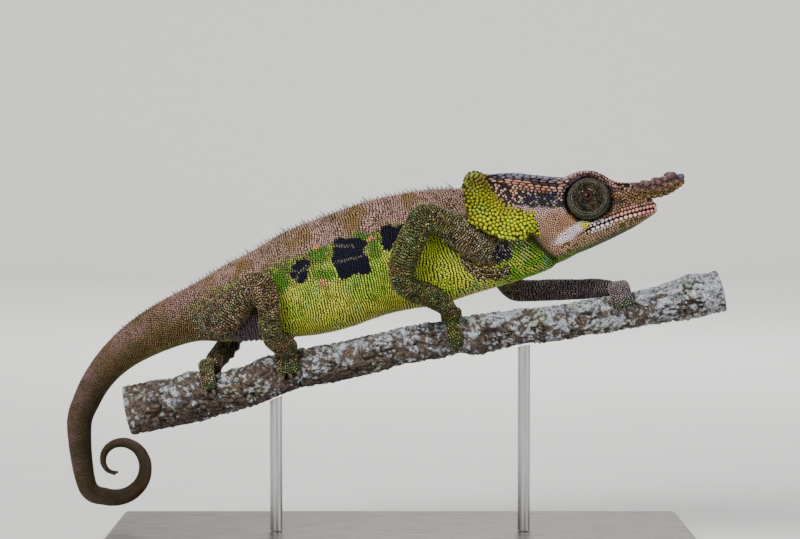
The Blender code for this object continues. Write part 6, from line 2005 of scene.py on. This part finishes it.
class CHAMELEON_OT_eyes(bpy.types.Operator):
    """Builds the ringed eye turrets with their granules, the lids and the glossy eyes"""

    bl_idname = "chameleon.eyes"
    bl_label = "Eyes"

    def execute(self, context):
        inks = palette(context.scene.chameleon.colours)
        for name, side in (("right", -1), ("left", 1)):
            self.turret(name, *eye_frame(side), inks)
            self.eyeball(name, *eye_frame(side), inks)
        return {"FINISHED"}

    def dome(self, slope):
        """Radius and height at a slope: cosine and sine of it times the turret's own, with ring folds."""
        folds = 0.16 * np.sin(slope * 15.0) * step(1.0, 0.75, slope)
        folds += 0.05 * np.sin(slope * 34.0) * step(0.6, 0.8, slope)
        return (TURRET_RADIUS + folds) * np.cos(slope), (TURRET_HEIGHT + folds) * np.sin(slope)

    def turret(self, name, place, way, across, other, inks):
        """The turret: rings of the dome's radius and height, a lid rolled in over its top, and its scales."""
        slope = np.linspace(0.0, 1.375, 90)
        radius, height = self.dome(slope)
        lid = np.linspace(0, math.pi, 12)
        lip_radius = radius[-1] - 0.2 * (1 - np.cos(lid))
        lip_height = height[-1] + 0.16 * np.sin(lid) - 0.1 * (1 - np.cos(lid))
        foot_radius, foot_height = [TURRET_RADIUS * 0.75, TURRET_RADIUS * 0.98], [-2.4, -1.0]
        inner_radius = [lip_radius[-1] * 0.98, lip_radius[-1] * 0.9]
        inner_height = [height[-1] - 0.9, height[-1] - 1.6]
        radius = np.concatenate([foot_radius, radius, lip_radius, inner_radius])
        height = np.concatenate([foot_height, height, lip_height, inner_height])
        turn = circle(112)[None, :, None]
        spread_way = np.cos(turn) * across + np.sin(turn) * other
        rings = place + height[:, None, None] * way + radius[:, None, None] * spread_way
        points, quads, fans = closed_grid(rings)
        turret = outward(mesh_object(name + "_turret", points, quads, fans))
        offset = points - place
        out = np.linalg.norm(offset - (offset @ way)[:, None] * way, axis=1)
        ring = sum(np.exp(-(((out - far) / 0.1) ** 2)) for far in RING_RADII[:2])
        tint(turret, painted(len(points), [
            (inks.turret * 0.15, 1.0), (inks.turret_ring, ring * 0.3), (inks.iris, step(1.45, 1.25, out)),
        ]))
        dressed(turret, scaly_material(name + " turret", 0.55, 0.08), "turret", name + "_eye_turret")

        rows = []
        for number, low in enumerate(np.arange(0.05, 1.33, 0.08)):
            many = int(2 * math.pi * self.dome(low)[0] / 0.5)
            turns = (np.arange(many) + 0.5 * (number % 2)) / many * 2 * math.pi
            rows.append(np.column_stack([np.full(many, low), turns]))
        table = np.vstack(rows)
        out_at, up_at = self.dome(table[:, 0])
        spread_way = np.cos(table[:, 1:]) * across + np.sin(table[:, 1:]) * other
        centre = place + up_at[:, None] * way + out_at[:, None] * spread_way
        low, high = np.cos(table[:, :1]) / TURRET_RADIUS, np.sin(table[:, :1]) / TURRET_HEIGHT
        normal = unit(low * spread_way + high * way)
        roots = plain_roots(centre, normal, unit(np.cross(normal, way)), *table.T, 0.52, 0.05)
        roots["reach"] = cell_reach(roots, 8)
        draws = np.random.default_rng(41)
        roots["height"] = roots["reach"].mean(1) * 0.5
        draw = draws.random(len(table))
        shares = zip(RING_RADII, (0.6, 1, 0.7))
        ring = sum(share * np.exp(-(((out_at - far) / 0.18) ** 2)) for far, share in shares)
        tone = chosen([inks.turret, inks.turret * 0.5, inks.olive * 0.6, inks.turret * 2.2], draw)
        # Painted shade: the outer granules darken towards the turret's foot.
        tone = tone * (1 - 0.45 * step(4.4, 5.0, out_at))[:, None]
        tone = blend(tone, inks.turret_ring, np.clip(ring, 0, 1) * (0.5 + 0.5 * draw))
        fleck = noise(centre, 1.3, 42)
        forward = dot(centre - place, across * np.sign(across[0]))
        streaks = step(0.0, 0.5, fleck) * (0.4 + 0.6 * step(0.5, 2.5, forward))
        tone = blend(tone, inks.bronze * 0.7, 0.55 * streaks * step(1.5, 3.0, out_at))
        top_of_lid = step(2.7, 1.9, out_at) * (draw > 0.4) * (centre[:, 2] > place[2] + 1.6)
        tone = blend(tone, inks.blush * 0.8, 0.6 * top_of_lid)
        tone = blend(tone, inks.iris, step(1.9, 1.5, out_at) * 0.5)
        tone = tone * (0.6 + 0.9 * draws.random((len(table), 1)))
        lifts = [(0.7, 0.74), (1.0, -0.2)]
        piece = scale_piece(name + "_turret_scales", roots, np.arange(len(table)), 6, lifts, tone, 0.35)
        material = bpy.data.materials.get("scales turret") or scaly_material("scales turret", 0.45, 0.1)
        dressed(piece, material, "turret")

    def eyeball(self, name, place, way, across, other, inks):
        """A ball coloured by its angle from the way it looks: pupil, iris and a dark edge."""
        middle = place + way * (TURRET_HEIGHT - EYEBALL_SUNK)
        ball = ball_rings(middle, [EYEBALL_RADIUS] * 3, (across, other, way), 60, 48)
        points, quads, fans = closed_grid(ball)
        eye = outward(mesh_object(name + "_eye", points, quads, fans))
        offset = unit(points - middle)
        angle = np.arccos(np.clip(offset @ way, -1, 1))
        streaks = noise(np.column_stack([offset @ across, offset @ other, np.zeros(len(points))]), 0.03, 97)
        tint(eye, painted(len(points), [
            (inks.iris, 1.0), (inks.rust, 0.35 * step(0, 1, streaks)),
            (inks.pupil, step(0.3, 0.26, angle)), (inks.pupil, step(0.56, 0.64, angle)),
        ]))
        gloss = {"Coat Weight": 0.12, "Coat Roughness": 0.03, "Specular IOR Level": 0.05}
        material, tree, shader, _ = new_material(name + " eye", 0.4, **gloss)
        fine = grain_of(tree, tree.nodes["Texture Coordinate"].outputs["Object"], 9000.0, 2.0)
        colour = multiplied(tree, attribute(tree, "Tint"), ramp(tree, fine, (0.3, 0.7), (0.7, 1.15)))
        finished(tree, shader, colour)
        dressed(eye, material, "eyeball", name + "_eyeball")


class CHAMELEON_OT_claws(bpy.types.Operator):
    """Gives every toe its curved claw"""

    bl_idname = "chameleon.claws"
    bl_label = "Claws"

    def execute(self, context):
        settings = context.scene.chameleon
        length, inks = settings.sizes.claw / MM, palette(settings.colours)
        shells, share = [], np.linspace(0, 1, 12)
        for limb in LIMBS.values():
            middle = perch_at(limb["grip_x"])[0]
            for path, _ in toe_paths(limb):
                ahead = unit(path[-1] - path[-2])
                inward = unit(middle - path[-1])
                curve = (
                    path[-1] + ahead * np.outer(share * length * 1.05 - 0.5, np.ones(3))
                    + inward * np.outer(-0.3 * np.sin(share * math.pi) + 0.75 * share**2, np.ones(3))
                )
                shells.append(tube_rings(curve, 0.62 * (1 - share) ** 0.65 + 0.05, 12))
        claws = outward(joined("claws", shells))
        shade = np.concatenate([np.repeat(1.0 - 0.55 * share, 12), [1.0, 0.4]])
        tint(claws, np.tile(shade[:, None] * inks.claw, (len(shells), 1)))
        dressed(claws, scaly_material("claw", 0.28, 0.6, 2500.0, 0.00002), "limb")
        return {"FINISHED"}


OPERATORS = (
    CHAMELEON_OT_stage, CHAMELEON_OT_stand, CHAMELEON_OT_perch, CHAMELEON_OT_skin, CHAMELEON_OT_scales,
    CHAMELEON_OT_crest, CHAMELEON_OT_horns, CHAMELEON_OT_eyes, CHAMELEON_OT_claws,
)


class CHAMELEON_PT_panel(bpy.types.Panel):
    """Lists the steps that dress the model"""

    bl_label = "Chameleon"
    bl_idname = "CHAMELEON_PT_panel"
    bl_space_type = "VIEW_3D"
    bl_region_type = "UI"
    bl_category = "Chameleon"

    def draw(self, context):
        for operator in OPERATORS:
            self.layout.operator(operator.bl_idname)
        settings = context.scene.chameleon
        for group in (settings.sizes, settings.colours, settings.stage):
            box = self.layout.box()
            for key in group.bl_rna.properties.keys():
                if key not in ("rna_type", "name"):
                    box.prop(group, key)


CLASSES = (
    ChameleonSizes, ChameleonColours, ChameleonStageSettings, ChameleonSettings,
    *OPERATORS, CHAMELEON_PT_panel,
)


def register():
    """Registers the classes and puts the settings on the scene."""
    for item in CLASSES:
        bpy.utils.register_class(item)
    bpy.types.Scene.chameleon = PointerProperty(type=ChameleonSettings)


def unregister():
    """Takes the settings and the classes away again."""
    del bpy.types.Scene.chameleon
    for item in reversed(CLASSES):
        bpy.utils.unregister_class(item)


def main():
    """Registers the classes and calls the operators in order."""
    register()
    bpy.ops.chameleon.stage()
    bpy.ops.chameleon.stand()
    bpy.ops.chameleon.perch()
    bpy.ops.chameleon.skin()
    bpy.ops.chameleon.scales()
    bpy.ops.chameleon.crest()
    bpy.ops.chameleon.horns()
    bpy.ops.chameleon.eyes()
    bpy.ops.chameleon.claws()


if __name__ == "__main__":
    main()
